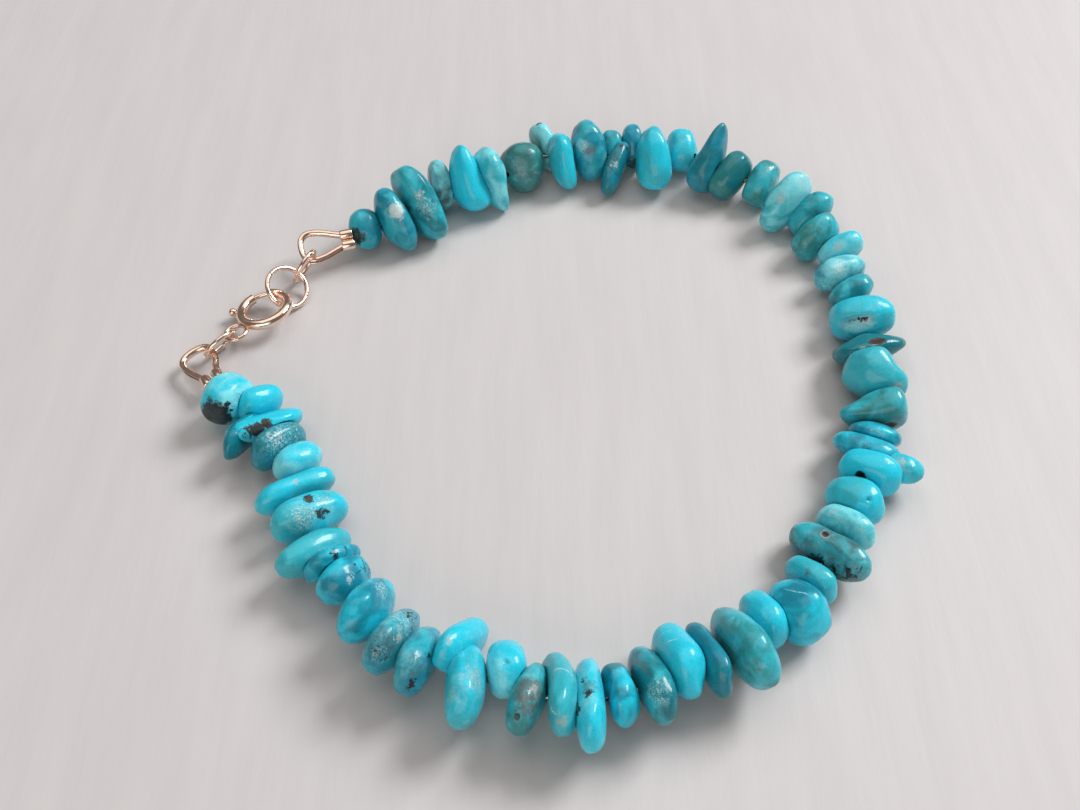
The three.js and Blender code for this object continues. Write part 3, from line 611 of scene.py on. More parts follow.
class Route:
    """A smooth curve through given points, read by the distance along it."""

    SAMPLES = 40

    def __init__(self, points):
        points = np.array(points, float)
        before = 2 * points[0] - points[1]
        after = 2 * points[-1] - points[-2]
        chain = np.vstack([before, points, after])
        share = np.linspace(0, 1, self.SAMPLES, endpoint=False)[:, None]
        runs = []
        for p0, p1, p2, p3 in zip(chain, chain[1:], chain[2:], chain[3:]):
            runs.append(
                (2 * share**3 - 3 * share**2 + 1) * p1
                + (share**3 - 2 * share**2 + share) * (p2 - p0) / 2
                + (3 * share**2 - 2 * share**3) * p2
                + (share**3 - share**2) * (p3 - p1) / 2
            )
        self.samples = np.vstack([*runs, points[-1:]])
        steps = np.linalg.norm(np.diff(self.samples, axis=0), axis=1)
        self.distances = np.concatenate([[0], np.cumsum(steps)])
        self.length = self.distances[-1]

    def place(self, at):
        at = np.clip(at, 0, self.length)
        axes = self.samples.shape[1]
        reads = [np.interp(at, self.distances, self.samples[:, i]) for i in range(axes)]
        return np.stack(reads, axis=-1)


def unit(vector):
    vector = np.array(vector, float)
    return vector / np.linalg.norm(vector)


def on_table(points):
    """Millimetres on the wire's own plan, as metres about the middle of the outline."""
    return (np.asarray(points, float) - OUTLINE_MIDDLE) * MM


WIRE = Route([(x, y, WIRE_HEIGHT) for x, y in WIRE_ROUTE])


def wire_heading(at):
    """The wire's direction over the table, evened out over its reach to both sides."""
    chord = WIRE.place(at + HEADING_REACH) - WIRE.place(at - HEADING_REACH)
    return math.atan2(chord[1], chord[0])


# Meshes.


def swept(path, section, closed=False, scales=None, twist=0):
    """Carries a closed section (up, side) along a path. The ups are upright all along it."""
    path = np.array(path, float)
    section = np.array(section, float)
    if closed:
        tangents = np.roll(path, -1, axis=0) - np.roll(path, 1, axis=0)
    else:
        tangents = np.gradient(path, axis=0)
    tangents /= np.linalg.norm(tangents, axis=1, keepdims=True)
    up = np.array([0, 0, 1.0])
    sides = np.cross(up, tangents)
    scales = np.ones(len(path)) if scales is None else scales
    turns = twist * np.arange(len(path))
    points = []
    for i, place in enumerate(path):
        cos, sin = math.cos(turns[i]), math.sin(turns[i])
        across = section[:, 0] * cos - section[:, 1] * sin
        along = section[:, 0] * sin + section[:, 1] * cos
        points.append(place + scales[i] * (np.outer(across, up) + np.outer(along, sides[i])))
    count = len(section)
    faces = []
    stations = len(path) if closed else len(path) - 1
    for i in range(stations):
        near = i * count
        far = (i + 1) % len(path) * count
        for j in range(count):
            k = (j + 1) % count
            faces.append((near + j, near + k, far + k, far + j))
    if not closed:
        faces.append(tuple(reversed(range(count))))
        faces.append(tuple(range((len(path) - 1) * count, len(path) * count)))
    return np.vstack(points), faces


def round_section(radius, sides):
    angles = np.linspace(0, 2 * np.pi, sides, endpoint=False)
    return np.stack([radius * np.cos(angles), radius * np.sin(angles)], axis=1)


def turned(profile, sides):
    """Turns a closed profile (along x, radius) about the x axis."""
    angles = np.linspace(0, 2 * np.pi, sides, endpoint=False)
    profile = np.array(profile, float)
    points = [
        np.stack([profile[:, 0], profile[:, 1] * math.cos(a), profile[:, 1] * math.sin(a)], axis=1)
        for a in angles
    ]
    count = len(profile)
    faces = []
    for i in range(sides):
        near, far = i * count, (i + 1) % sides * count
        for j in range(count):
            k = (j + 1) % count
            faces.append((near + j, far + j, far + k, near + k))
    return np.vstack(points), faces


def arc(radius, first, last, steps):
    angles = np.radians(np.linspace(first, last, steps))
    return np.stack([radius * np.cos(angles), radius * np.sin(angles), np.zeros(steps)], axis=1)


def rounded_ends(path, radius, lip):
    """Scales that round off both ends of a swept rod, over the length of the lip."""
    steps = np.linalg.norm(np.diff(path, axis=0), axis=1)
    along = np.concatenate([[0], np.cumsum(steps)])
    near_end = np.minimum(along, along[-1] - along)
    reach = np.clip(1 - near_end / lip, 0, 1)
    return 1 - lip / radius * (1 - np.sqrt(1 - reach**2))


def merged(*parts):
    """Several (points, faces) as one."""
    points, faces, offset = [], [], 0
    for part_points, part_faces in parts:
        points.append(part_points)
        faces += [tuple(offset + i for i in face) for face in part_faces]
        offset += len(part_points)
    return np.vstack(points), faces


def mesh_object(name, points, faces):
    mesh = bpy.data.meshes.new(name)
    mesh.from_pydata([tuple(p) for p in points], [], faces)
    sides = bmesh.new()
    sides.from_mesh(mesh)
    bmesh.ops.recalc_face_normals(sides, faces=sides.faces)
    sides.to_mesh(mesh)
    sides.free()
    obj = bpy.data.objects.new(name, mesh)
    bpy.context.scene.collection.objects.link(obj)
    return obj


def mesh_points(obj):
    corners = np.empty(len(obj.data.vertices) * 3)
    obj.data.vertices.foreach_get("co", corners)
    return corners.reshape(-1, 3)


def combine(obj, others, operation):
    """Applies exact boolean operations to obj, and removes the other objects."""
    for other in others:
        step = obj.modifiers.new("combine", "BOOLEAN")
        step.operation = operation
        step.solver = "EXACT"
        step.object = other
    graph = bpy.context.evaluated_depsgraph_get()
    mesh = bpy.data.meshes.new_from_object(obj.evaluated_get(graph))
    old = obj.data
    obj.modifiers.clear()
    obj.data = mesh
    mesh.name = obj.name
    bpy.data.meshes.remove(old)
    for other in others:
        spent = other.data
        bpy.data.objects.remove(other)
        bpy.data.meshes.remove(spent)


def finish_piece(obj, material, body, nodes, crease=CREASE):
    """Shades a piece, gives it its material, hangs it on the empty of the body that it rides on and
    hides the imported parts that it replaces.
    """
    obj.data.materials.clear()
    obj.data.materials.append(material)
    obj.data.shade_smooth()
    obj.data.set_sharp_from_angle(angle=math.radians(crease))
    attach(obj, body)
    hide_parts(*nodes)


# Chips.


def squared(values, power):
    """Values from -1 to 1 drawn towards the ends, which squares off a round form."""
    return np.sign(values) * np.abs(values) ** power


def chip_run(chip, x):
    """The chip's girth, waist and lift at shares x of its half length."""
    girth = np.maximum(1 + chip.taper * x, GIRTH_LEAST)
    waist = 1 - chip.waist * np.exp(-((x / WAIST_REACH) ** 2))
    return girth, waist, chip.bend * chip.long * (x * x - BEND_LEVEL) / 2


def chip_form(chip, ball):
    """Points of the unit ball as points of the chip: long along x, wide along y, thick along z."""
    x = squared(ball[:, 0], LONG_SQUARING)
    y = squared(ball[:, 1], WIDE_SQUARING)
    z = squared(ball[:, 2], THICK_SQUARING)
    girth, waist, lift = chip_run(chip, x)
    across, through = y * girth * chip.wide / 2, z * girth * waist * chip.thick / 2
    return np.stack([x * chip.long / 2, across, through + lift], axis=1)


def ball_share(chip, local):
    """How far out points in the chip's own frame lie: under 1 inside it, over 1 outside."""
    x = local[:, 0] * 2 / chip.long
    girth, waist, lift = chip_run(chip, x)
    y = squared(local[:, 1] * 2 / (chip.wide * girth), 1 / WIDE_SQUARING)
    z = squared((local[:, 2] - lift) * 2 / (chip.thick * girth * waist), 1 / THICK_SQUARING)
    x = squared(x, 1 / LONG_SQUARING)
    return np.sqrt(x * x + y * y + z * z)


def chip_axes(chip):
    """The chip's long, wide and thick directions on the table, as columns."""
    heading = wire_heading(chip.at) + math.radians(chip.turn)
    roll, tip = math.radians(chip.roll), math.radians(chip.tip)
    forward = np.array([math.cos(heading), math.sin(heading), 0])
    outward = np.array([-math.sin(heading), math.cos(heading), 0])
    upward = np.array([0, 0, 1])
    along = math.cos(roll) * outward + math.sin(roll) * upward
    level = math.cos(roll) * upward - math.sin(roll) * outward
    thick = math.cos(tip) * forward + math.sin(tip) * level
    wide = math.cos(tip) * level - math.sin(tip) * forward
    return np.stack([along, wide, thick], axis=1)


def chip_centre(chip, axes, ball):
    """The chip's centre: beside the wire, and high enough to rest on the table."""
    lowest = (chip_form(chip, ball) @ axes.T)[:, 2].min()
    heading = wire_heading(chip.at)
    place = WIRE.place(chip.at)
    height = max(CHIP_LOWEST_CENTRE, -lowest - CHIP_SETTLE) + chip.rise
    return np.array(
        [place[0] - math.sin(heading) * chip.side, place[1] + math.cos(heading) * chip.side, height]
    )


def tumbled(chip, ball):
    """The unit ball with the lumps and worn flats of this chip's tumbling."""
    chance = np.random.default_rng(chip.number)
    shift = Vector(chance.uniform(-NOISE_REACH, NOISE_REACH, 3))
    swell = np.array([
        LUMP_HEIGHT * noise.noise(Vector(p) * LUMP_SCALE + shift)
        + RIPPLE_HEIGHT * noise.noise(Vector(p) * RIPPLE_SCALE - shift)
        for p in ball
    ])
    points = ball * (1 + swell)[:, None]
    for _ in range(chance.integers(*FLAT_COUNT, endpoint=True)):
        toward = unit(chance.normal(size=3))
        over = points @ toward - chance.uniform(*FLAT_DEPTH)
        worn = np.where(over > 0, FLAT_CROWN * np.tanh(over / FLAT_CROWN) - over, 0)
        points = points + worn[:, None] * toward
    return points


def dabbed(local, dabs):
    """Raises the bulges and presses in the hollows of a chip, in the chip's own frame."""
    for dab in dabs:
        away = np.linalg.norm(local - dab.at, axis=1)
        local = local + (dab.rise * np.exp(-((away / dab.reach) ** 2)))[:, None] * unit(dab.at)
    return local


def seats(chip):
    """The low bulges where a chip sits against the chips before and after it on the wire."""
    bulges = []
    for way in (-1, 1):
        index = chip.number - 1 + way
        if 0 <= index < len(CHIPS):
            other = CHIPS[index]
            gap = abs(other.at - chip.at) - (chip.thick + other.thick) / 2
            rise = min(max(gap, 0) / 2, SEAT_MOST)
            bulges.append(Dab((-chip.side * SEAT_SIDE, 0, way * chip.thick / 2), SEAT_REACH, rise))
    return bulges


def sunk_marks(local, look):
    """Wears the sunk patches into a chip, in the chip's own frame."""
    for mark in look.marks:
        if isinstance(mark, Patch) and mark.sink:
            away = np.linalg.norm((local - mark.at) * mark.stretch, axis=1)
            depth = mark.sink * np.exp(-((away / mark.radius) ** 4))
            local = local - depth[:, None] * unit(mark.at)
    return local


def unit_ball():
    ball = bmesh.new()
    bmesh.ops.create_icosphere(ball, subdivisions=CHIP_FINENESS, radius=1)
    points = np.array([v.co[:] for v in ball.verts])
    faces = [tuple(v.index for v in face.verts) for face in ball.faces]
    ball.free()
    return points / np.linalg.norm(points, axis=1, keepdims=True), faces


Placed = namedtuple("Placed", "chip axes centre")


def pushed_clear(points, placed, nearer):
    """Moves the points of a chip that lie in a nearer chip back to that chip's far side."""
    back = unit(placed.centre - nearer.centre)
    limit = 1 + CONTACT_GAP

    def inside(places):
        return ball_share(nearer.chip, (places - nearer.centre) @ nearer.axes) < limit

    held = np.flatnonzero(inside(points))
    if not len(held):
        return points
    low = np.zeros(len(held))
    high = np.full(len(held), nearer.chip.long)
    for _ in range(CLEARING_HALVINGS):
        middle = (low + high) / 2
        still = inside(points[held] + middle[:, None] * back)
        low, high = np.where(still, middle, low), np.where(still, high, middle)
    points = points.copy()
    points[held] += high[:, None] * back
    return points


def placed_chips(ball):
    """Every chip with its axes and its centre on the wire's plan."""
    placed = []
    for chip in CHIPS:
        axes = chip_axes(chip)
        placed.append(Placed(chip, axes, chip_centre(chip, axes, ball)))
    return placed


def strung_wire(placed, first, last):
    """Points of the wire as strung, between two distances along its route."""
    stations = np.arange(first, last, STRUNG_STEP)
    at = np.array([stone.chip.at for stone in placed])
    offsets = np.array([stone.centre - WIRE.place(stone.chip.at) for stone in placed])
    weights = np.exp(-(((stations[:, None] - at) / STRUNG_SPREAD) ** 2)) + LEAST_WEIGHT
    weights /= weights.sum(axis=1, keepdims=True)
    return WIRE.place(stations) + STRUNG_SHARE * weights @ offsets


def chip_bore(chip, placed):
    """The drilled hole through a chip, along the beading wire."""
    path = strung_wire(placed, max(chip.at - BORE_REACH, 0), min(chip.at + BORE_REACH, WIRE.length))
    points, faces = swept(path[::BORE_SKIP], round_section(BORE_RADIUS, BORE_SIDES))
    return mesh_object("bore", on_table(points), faces)


def view_depth(centre):
    """How deep a place lies in the camera's view: the less, the nearer."""
    tilt = math.radians(CAMERA_ELEVATION)
    return centre[1] * math.cos(tilt) - centre[2] * math.sin(tilt)


# Materials.


# What a finish puts out, and each layer of the stone hands on to the next mark.
FINISH_SOCKETS = (("Color", "Color"), ("Roughness", "Float", 0.3), ("Height", "Float", 0.0))


def new_group(name, inputs):
    """A shader node group for a finish, with its inner sockets."""
    group = bpy.data.node_groups.new(name, "ShaderNodeTree")
    for direction, sockets in (("INPUT", inputs), ("OUTPUT", FINISH_SOCKETS)):
        for socket, kind, *default in sockets:
            made = group.interface.new_socket(socket, in_out=direction, socket_type="NodeSocket" + kind)
            if default:
                made.default_value = default[0]
    given, put = group.nodes.new("NodeGroupInput"), group.nodes.new("NodeGroupOutput")
    return group, given.outputs, put.inputs


class Nodes:
    """Short calls for adding nodes to one tree."""

    def __init__(self, tree):
        self.tree = tree

    def add(self, kind, inputs=(), **settings):
        node = self.tree.nodes.new("ShaderNode" + kind)
        for key, value in settings.items():
            setattr(node, key, value)
        for socket, value in dict(inputs).items():
            self.feed(node.inputs[socket], value)
        return node

    def feed(self, socket, value):
        if isinstance(value, bpy.types.NodeSocket):
            self.tree.links.new(value, socket)
        else:
            socket.default_value = value

    def maths(self, operation, first, second=0.0, third=0.0):
        return self.add("Math", {0: first, 1: second, 2: third}, operation=operation).outputs[0]

    def vector(self, operation, first, second=(0, 0, 0)):
        return self.add("VectorMath", {0: first, 1: second}, operation=operation)

    def mixed(self, share, first, second):
        """Mixes two colours. The Mix node's colour sockets are its seventh and eighth."""
        return self.add("Mix", {0: share, 6: first, 7: second}, data_type="RGBA").outputs[2]

    def blended(self, share, first, second):
        """Mixes two numbers."""
        return self.add("Mix", {0: share, 2: first, 3: second}, data_type="FLOAT").outputs[0]

    def mapped(self, value, low, high, to_low=0.0, to_high=1.0):
        return self.add(
            "MapRange",
            {"Value": value, "From Min": low, "From Max": high, "To Min": to_low, "To Max": to_high},
            interpolation_type="SMOOTHSTEP",
        ).outputs[0]

    def noise(self, place, scale, detail=3, rough=0.55, warp=0.0):
        """Noise that swings about scale times in each unit of the place."""
        inputs = {
            "Vector": place, "Scale": scale, "Detail": detail, "Roughness": rough, "Distortion": warp,
        }
        return self.add("TexNoise", inputs).outputs["Fac"]

    def scaled(self, vector, factor):
        return self.add("VectorMath", {0: vector, "Scale": factor}, operation="SCALE").outputs[0]


def colour4(colour):
    return (*colour, 1)


def new_material(name):
    """An empty material, and the short calls for its nodes."""
    material = bpy.data.materials.new(name)
    material.use_nodes = True
    material.node_tree.nodes.clear()
    return material, Nodes(material.node_tree)


def put_shader(make, colour, roughness, height, bump, extra=()):
    """Ends a material in its shader. bump: its strength, and its depth in metres."""
    strength, depth = bump
    bumped = make.add("Bump", {"Height": height, "Strength": strength, "Distance": depth})
    inputs = {"Base Color": colour, "Roughness": roughness, "Normal": bumped.outputs[0], **dict(extra)}
    shader = make.add("BsdfPrincipled", inputs)
    make.add("OutputMaterial", {"Surface": shader.outputs[0]})


def stone_clouds_group():
    """The stone's own colour: two tones in soft clouds, a pale haze and a fine grain."""
    inputs = (
        ("Place", "Vector"), ("Body", "Color"), ("Depth", "Color"), ("Haze", "Color"),
        ("Haze Amount", "Float", 0.3), ("Shift", "Vector"),
    )
    group, given, put = new_group("Stone Clouds", inputs)
    make = Nodes(group)
    place = make.vector("ADD", given["Place"], given["Shift"]).outputs[0]
    cloud = make.mapped(make.noise(place, CLOUD_SCALE, detail=3, warp=0.6), *CLOUD_EDGES)
    colour = make.mixed(cloud, given["Body"], given["Depth"])
    wide = make.noise(place, HAZE_SCALE, detail=5, rough=0.62, warp=0.4)
    haze = make.maths("MULTIPLY", make.mapped(wide, *HAZE_EDGES), given["Haze Amount"])
    colour = make.mixed(haze, colour, given["Haze"])
    grain = make.noise(place, GRAIN_SCALE, detail=4, rough=0.6)
    make.feed(put["Color"], make.scaled(colour, make.mapped(grain, *GRAIN_EDGES, *GRAIN_SHADES)))
    make.feed(put["Roughness"], make.mapped(wide, *POLISH_EDGES, *STONE_ROUGHNESS))
    make.feed(put["Height"], make.maths("MULTIPLY", grain, GRAIN_HEIGHT))
    return group


def marked_group(name, inputs, masking):
    """A group that lays one mark over the stone that it is given, where its mask says."""
    mark = (("Place", "Vector"), ("Mark Color", "Color"), ("Centre", "Vector"))
    group, given, put = new_group(name, (*FINISH_SOCKETS, *mark, *inputs))
    make = Nodes(group)
    mask = masking(make, given)
    make.feed(put["Color"], make.mixed(mask, given["Color"], given["Mark Color"]))
    make.feed(put["Roughness"], make.blended(mask, given["Roughness"], MARK_ROUGHNESS))
    sunk = make.maths("MULTIPLY", mask, MARK_DEPTH)
    make.feed(put["Height"], make.maths("SUBTRACT", given["Height"], sunk))
    return group


def stone_patch_group():
    """A patch of matrix, chalk or another tone, with a ragged edge."""

    def masking(make, given):
        offset = make.vector("SUBTRACT", given["Place"], given["Centre"]).outputs[0]
        drawn = make.vector("MULTIPLY", offset, given["Stretch"]).outputs[0]
        reach = make.vector("LENGTH", drawn).outputs["Value"]
        torn = make.noise(given["Place"], TEAR_SCALE, detail=8, rough=0.72, warp=0.5)
        torn = make.maths("MULTIPLY", make.maths("SUBTRACT", torn, NOISE_MIDDLE), given["Ragged"])
        reach = make.maths("MULTIPLY_ADD", torn, TEAR_REACH, reach)
        inner, outer = (
            make.maths("MULTIPLY", given["Radius"], make.blended(given["Cover"], *shares))
            for shares in (PATCH_INNER, PATCH_OUTER)
        )
        soft = make.mapped(reach, inner, outer, 1.0, 0.0)
        flecks = make.noise(given["Place"], FLECK_SCALE, detail=8, rough=0.78, warp=0.8)
        flecks = make.blended(given["Cover"], make.mapped(flecks, *FLECK_EDGES), 1.0)
        return make.maths("MULTIPLY", soft, flecks)

    inputs = (
        ("Radius", "Float", 0.3), ("Ragged", "Float", 0.3), ("Stretch", "Vector", (1, 1, 1)),
        ("Cover", "Float", 0.35),
    )
    return marked_group("Stone Patch", inputs, masking)


def near_centre(make, given):
    """One near the mark's centre, down to zero at its reach."""
    reach = make.vector("DISTANCE", given["Place"], given["Centre"]).outputs["Value"]
    inner = make.maths("MULTIPLY", given["Reach"], MARK_CORE)
    return make.mapped(reach, inner, given["Reach"], 1.0, 0.0)


def stone_vein_group():
    """A thin wandering vein."""

    def masking(make, given):
        offset = make.vector("SUBTRACT", given["Place"], given["Centre"]).outputs[0]
        level = make.vector("DOT_PRODUCT", offset, given["Toward"]).outputs["Value"]
        drift = make.noise(given["Place"], VEIN_DRIFT_SCALE, detail=4, rough=0.6)
        drift = make.maths("MULTIPLY", make.maths("SUBTRACT", drift, NOISE_MIDDLE), given["Wander"])
        gap = make.maths("ABSOLUTE", make.maths("ADD", level, drift))
        core = make.maths("MULTIPLY", given["Width"], VEIN_CORE)
        line = make.mapped(gap, core, given["Width"], 1.0, 0.0)
        broken = make.noise(given["Place"], VEIN_BREAK_SCALE, detail=6, rough=0.7)
        line = make.maths("MULTIPLY", line, make.mapped(broken, *VEIN_BREAK_EDGES, *VEIN_SHADES))
        return make.maths("MULTIPLY", line, near_centre(make, given))

    inputs = (
        ("Reach", "Float", 1.0), ("Toward", "Vector", (0, 0, 1)),
        ("Width", "Float", 0.1), ("Wander", "Float", 0.5),
    )
    return marked_group("Stone Vein", inputs, masking)


def stone_specks_group():
    """Fine specks scattered round a centre."""

    def masking(make, given):
        cells = make.add("TexVoronoi", {"Vector": given["Place"], "Scale": given["Scale"]})
        size = make.add("SeparateColor", {"Color": cells.outputs["Color"]}).outputs[0]
        size = make.mapped(size, make.maths("SUBTRACT", 1.0, given["Amount"]), 1.0, 0.0, SPECK_MOST)
        speck = make.mapped(make.maths("SUBTRACT", size, cells.outputs["Distance"]), *SPECK_EDGES)
        return make.maths("MULTIPLY", speck, near_centre(make, given))

    inputs = (("Reach", "Float", 1.0), ("Scale", "Float", 3.2), ("Amount", "Float", 0.5))
    return marked_group("Stone Specks", inputs, masking)


STONE_GROUPS = {
    "Clouds": ("Stone Clouds", stone_clouds_group),
    "Patch": ("Stone Patch", stone_patch_group),
    "Vein": ("Stone Vein", stone_vein_group),
    "Specks": ("Stone Specks", stone_specks_group),
}


def mark_inputs(mark):
    """What a mark's node group is given, apart from the place on the stone and the mark's tone."""
    values = {field.title(): value for field, value in mark._asdict().items()}
    del values["Tone"]
    values["Centre"] = values.pop("At")
    if isinstance(mark, Patch):
        sink = values.pop("Sink")
        values["Centre"] = np.array(mark.at) - unit(mark.at) * sink * SINK_FOLLOW
        values["Radius"] += sink * SINK_SPREAD
        if mark.tone in DARK_TONES and mark.cover > 0:
            values["Cover"] = DARK_COVER
    return values


def stone_material(name, groups, chip, look, settings):
    material, make = new_material(name)
    place = make.add("Attribute", attribute_name="stone_place").outputs["Vector"]
    tint = Vector(settings.tint)

    def tone(key):
        return colour4(Vector(TONES[key]) * tint)

    inputs = {
        "Place": place,
        "Body": tone(look.body),
        "Depth": tone(look.depth),
        "Haze": tone("pale"),
        "Haze Amount": look.haze,
        "Shift": (chip.number * CLOUD_SHIFT[0], chip.number * CLOUD_SHIFT[1], 0),
    }
    stone = make.add("Group", inputs, node_tree=groups["Clouds"])
    for mark in look.marks:
        inputs = {socket: stone.outputs[socket] for socket in ("Color", "Roughness", "Height")}
        inputs.update({"Place": place, "Mark Color": tone(mark.tone), **mark_inputs(mark)})
        stone = make.add("Group", inputs, node_tree=groups[type(mark).__name__])
    polish = {
        "Specular IOR Level": STONE_SPECULAR,
        "Coat Weight": settings.gloss,
        "Coat Roughness": COAT_ROUGHNESS,
    }
    put_shader(make, *stone.outputs[:3], STONE_BUMP, polish)
    return material


def metal_group():
    """Polished plate, a little dulled in patches, with the finest of polishing lines."""
    inputs = (("Place", "Vector"), ("Bright", "Color"), ("Dull", "Color"), ("Wear", "Float", 0.4))
    group, given, put = new_group("Handled Metal", inputs)
    make = Nodes(group)
    patches = make.noise(given["Place"], WEAR_SCALE, detail=4, rough=0.6, warp=0.5)
    worn = make.maths("MULTIPLY", make.mapped(patches, *WEAR_EDGES), given["Wear"])
    make.feed(put["Color"], make.mixed(worn, given["Bright"], given["Dull"]))
    make.feed(put["Roughness"], make.mapped(worn, 0, WEAR_MOST, *METAL_ROUGHNESS))
    make.feed(put["Height"], make.noise(given["Place"], POLISH_LINE_SCALE, detail=2))
    return group


def shared_group(name, build):
    """The named node group, built the first time that it is asked for."""
    return bpy.data.node_groups.get(name) or build()


def metal_material(name, bright, dull, wear):
    """A handled metal, made once for each name."""
    if name in bpy.data.materials:
        return bpy.data.materials[name]
    material, make = new_material(name)
    inputs = {
        "Place": make.add("TexCoord").outputs["Object"],
        "Bright": colour4(bright),
        "Dull": colour4(dull),
        "Wear": wear,
    }
    plate = make.add("Group", inputs, node_tree=shared_group("Handled Metal", metal_group))
    put_shader(make, *plate.outputs[:3], METAL_BUMP, {"Metallic": 1.0})
    return material


def rose_gold():
    metal = bpy.context.scene.bracelet_metal
    return metal_material("rose_gold_plate", metal.colour, metal.dull_colour, PLATE_WEAR)


def steel_wire():
    colour = bpy.context.scene.bracelet_stones.wire_colour
    return metal_material("beading_wire_steel", colour, Vector(colour) * STEEL_DULLING, STEEL_WEAR)


# Placing of the findings.


def turn_matrix(heading, pitch, roll):
    """Turns by roll about x, then pitch lifting x, then heading about z."""
    cos_h, sin_h = math.cos(math.radians(heading)), math.sin(math.radians(heading))
    cos_p, sin_p = math.cos(math.radians(-pitch)), math.sin(math.radians(-pitch))
    cos_r, sin_r = math.cos(math.radians(roll)), math.sin(math.radians(roll))
    about_z = np.array([[cos_h, -sin_h, 0], [sin_h, cos_h, 0], [0, 0, 1]])
    about_y = np.array([[cos_p, 0, sin_p], [0, 1, 0], [-sin_p, 0, cos_p]])
    about_x = np.array([[1, 0, 0], [0, cos_r, -sin_r], [0, sin_r, cos_r]])
    return about_z @ about_y @ about_x


def guard_place(guard, points):
    return on_table(points @ turn_matrix(guard.heading, guard.pitch, guard.roll).T + guard.at)


def guard_line():
    half = [GUARD_TAIL, *GUARD_OUTLINE]
    mirrored = [(x, -y) for x, y in half[-2::-1]]
    return Route([(x, y, 0) for x, y in [*half, *mirrored]])


def gutter_section():
    """A round channel, open on the outer side, with rounded lips."""
    middle = (GUTTER_INNER + GUTTER_OUTER) / 2
    lip = (GUTTER_OUTER - GUTTER_INNER) / 2
    first, last = np.radians(GUTTER_ARC)
    around = np.linspace(first, last, GUTTER_FINENESS)
    level = np.ones(GUTTER_FINENESS)
    turns = np.linspace(0, np.pi, LIP_FINENESS)[1:-1]
    out, rise = lip * np.cos(turns), lip * np.sin(turns) / middle
    radius = np.concatenate([level * GUTTER_OUTER, middle + out, level * GUTTER_INNER, middle - out])
    swing = np.concatenate([around, last + rise, around[::-1], first - rise])
    return np.stack([radius * np.sin(swing), -radius * np.cos(swing)], axis=1)


def sleeve_profile():
    """A short tube's wall, with half-round ends."""
    lip = (SLEEVE_OUTER - SLEEVE_INNER) / 2
    middle = (SLEEVE_OUTER + SLEEVE_INNER) / 2
    near, far = SLEEVE_SPAN
    turns = np.radians([*np.linspace(-90, 90, SLEEVE_FINENESS), *np.linspace(90, 270, SLEEVE_FINENESS)])
    ends = np.repeat([far - lip, near + lip], SLEEVE_FINENESS)
    return np.stack([ends + lip * np.cos(turns), middle + lip * np.sin(turns)], axis=1)


def square_axes(square, toward=(1, 0, 0)):
    """Axes as columns: z along the given direction, and x as near to toward as it can be."""
    upright = unit(square)
    toward = np.array(toward, float)
    ahead = unit(toward - upright * (toward @ upright))
    return np.stack([ahead, np.cross(upright, ahead), upright], axis=1)


def clasp_place(points):
    return on_table(points @ square_axes(CLASP_SQUARE, CLASP_TO_LOOP).T + CLASP_AT)


def clasp_tube(radius, span, sides, steps, lip=0.0):
    path = arc(CLASP_RADIUS, *span, steps)
    scales = rounded_ends(path, radius, lip) if lip else None
    return swept(path, round_section(radius, sides), scales=scales)


# Operators, one for each kind of piece.


class BRACELET_OT_turquoise_chips(bpy.types.Operator):
    """Shape, place, drill and colour the turquoise chips"""

    bl_idname = "bracelet.turquoise_chips"
    bl_label = "Turquoise Chips"

    def execute(self, context):
        ball, faces = unit_ball()
        settings = context.scene.bracelet_stones
        groups = {key: shared_group(*made) for key, made in STONE_GROUPS.items()}
        placed = placed_chips(ball)
        for stone in placed:
            self.make_chip(stone, placed, ball, faces, groups, settings)
        return {"FINISHED"}

    def make_chip(self, stone, placed, ball, faces, groups, settings):
        chip = stone.chip
        name = f"chip_{chip.number:02d}"
        local = dabbed(chip_form(chip, tumbled(chip, ball)), [*DABS.get(chip.number, ()), *seats(chip)])
        local = sunk_marks(local, LOOKS[chip.number])
        points = local @ stone.axes.T + stone.centre
        for other in placed:
            near = np.linalg.norm(other.centre - stone.centre) < (chip.long + other.chip.long) / 2
            if other is not stone and near and view_depth(other.centre) < view_depth(stone.centre):
                points = pushed_clear(points, stone, other)
        points[:, 2] = np.maximum(points[:, 2], 0)
        obj = mesh_object(name, on_table(points), faces)
        combine(obj, [chip_bore(chip, placed)], "DIFFERENCE")
        own = (mesh_points(obj) / MM + OUTLINE_MIDDLE - stone.centre) @ stone.axes
        mark = obj.data.attributes.new("stone_place", "FLOAT_VECTOR", "POINT")
        mark.data.foreach_set("vector", own.ravel())
        material = stone_material(name + "_stone", groups, chip, LOOKS[chip.number], settings)
        node = STRING_NODES[0] if chip.number <= BACK_CHIP_COUNT else STRING_NODES[1]
        finish_piece(obj, material, BRACELET_BODY, [node])


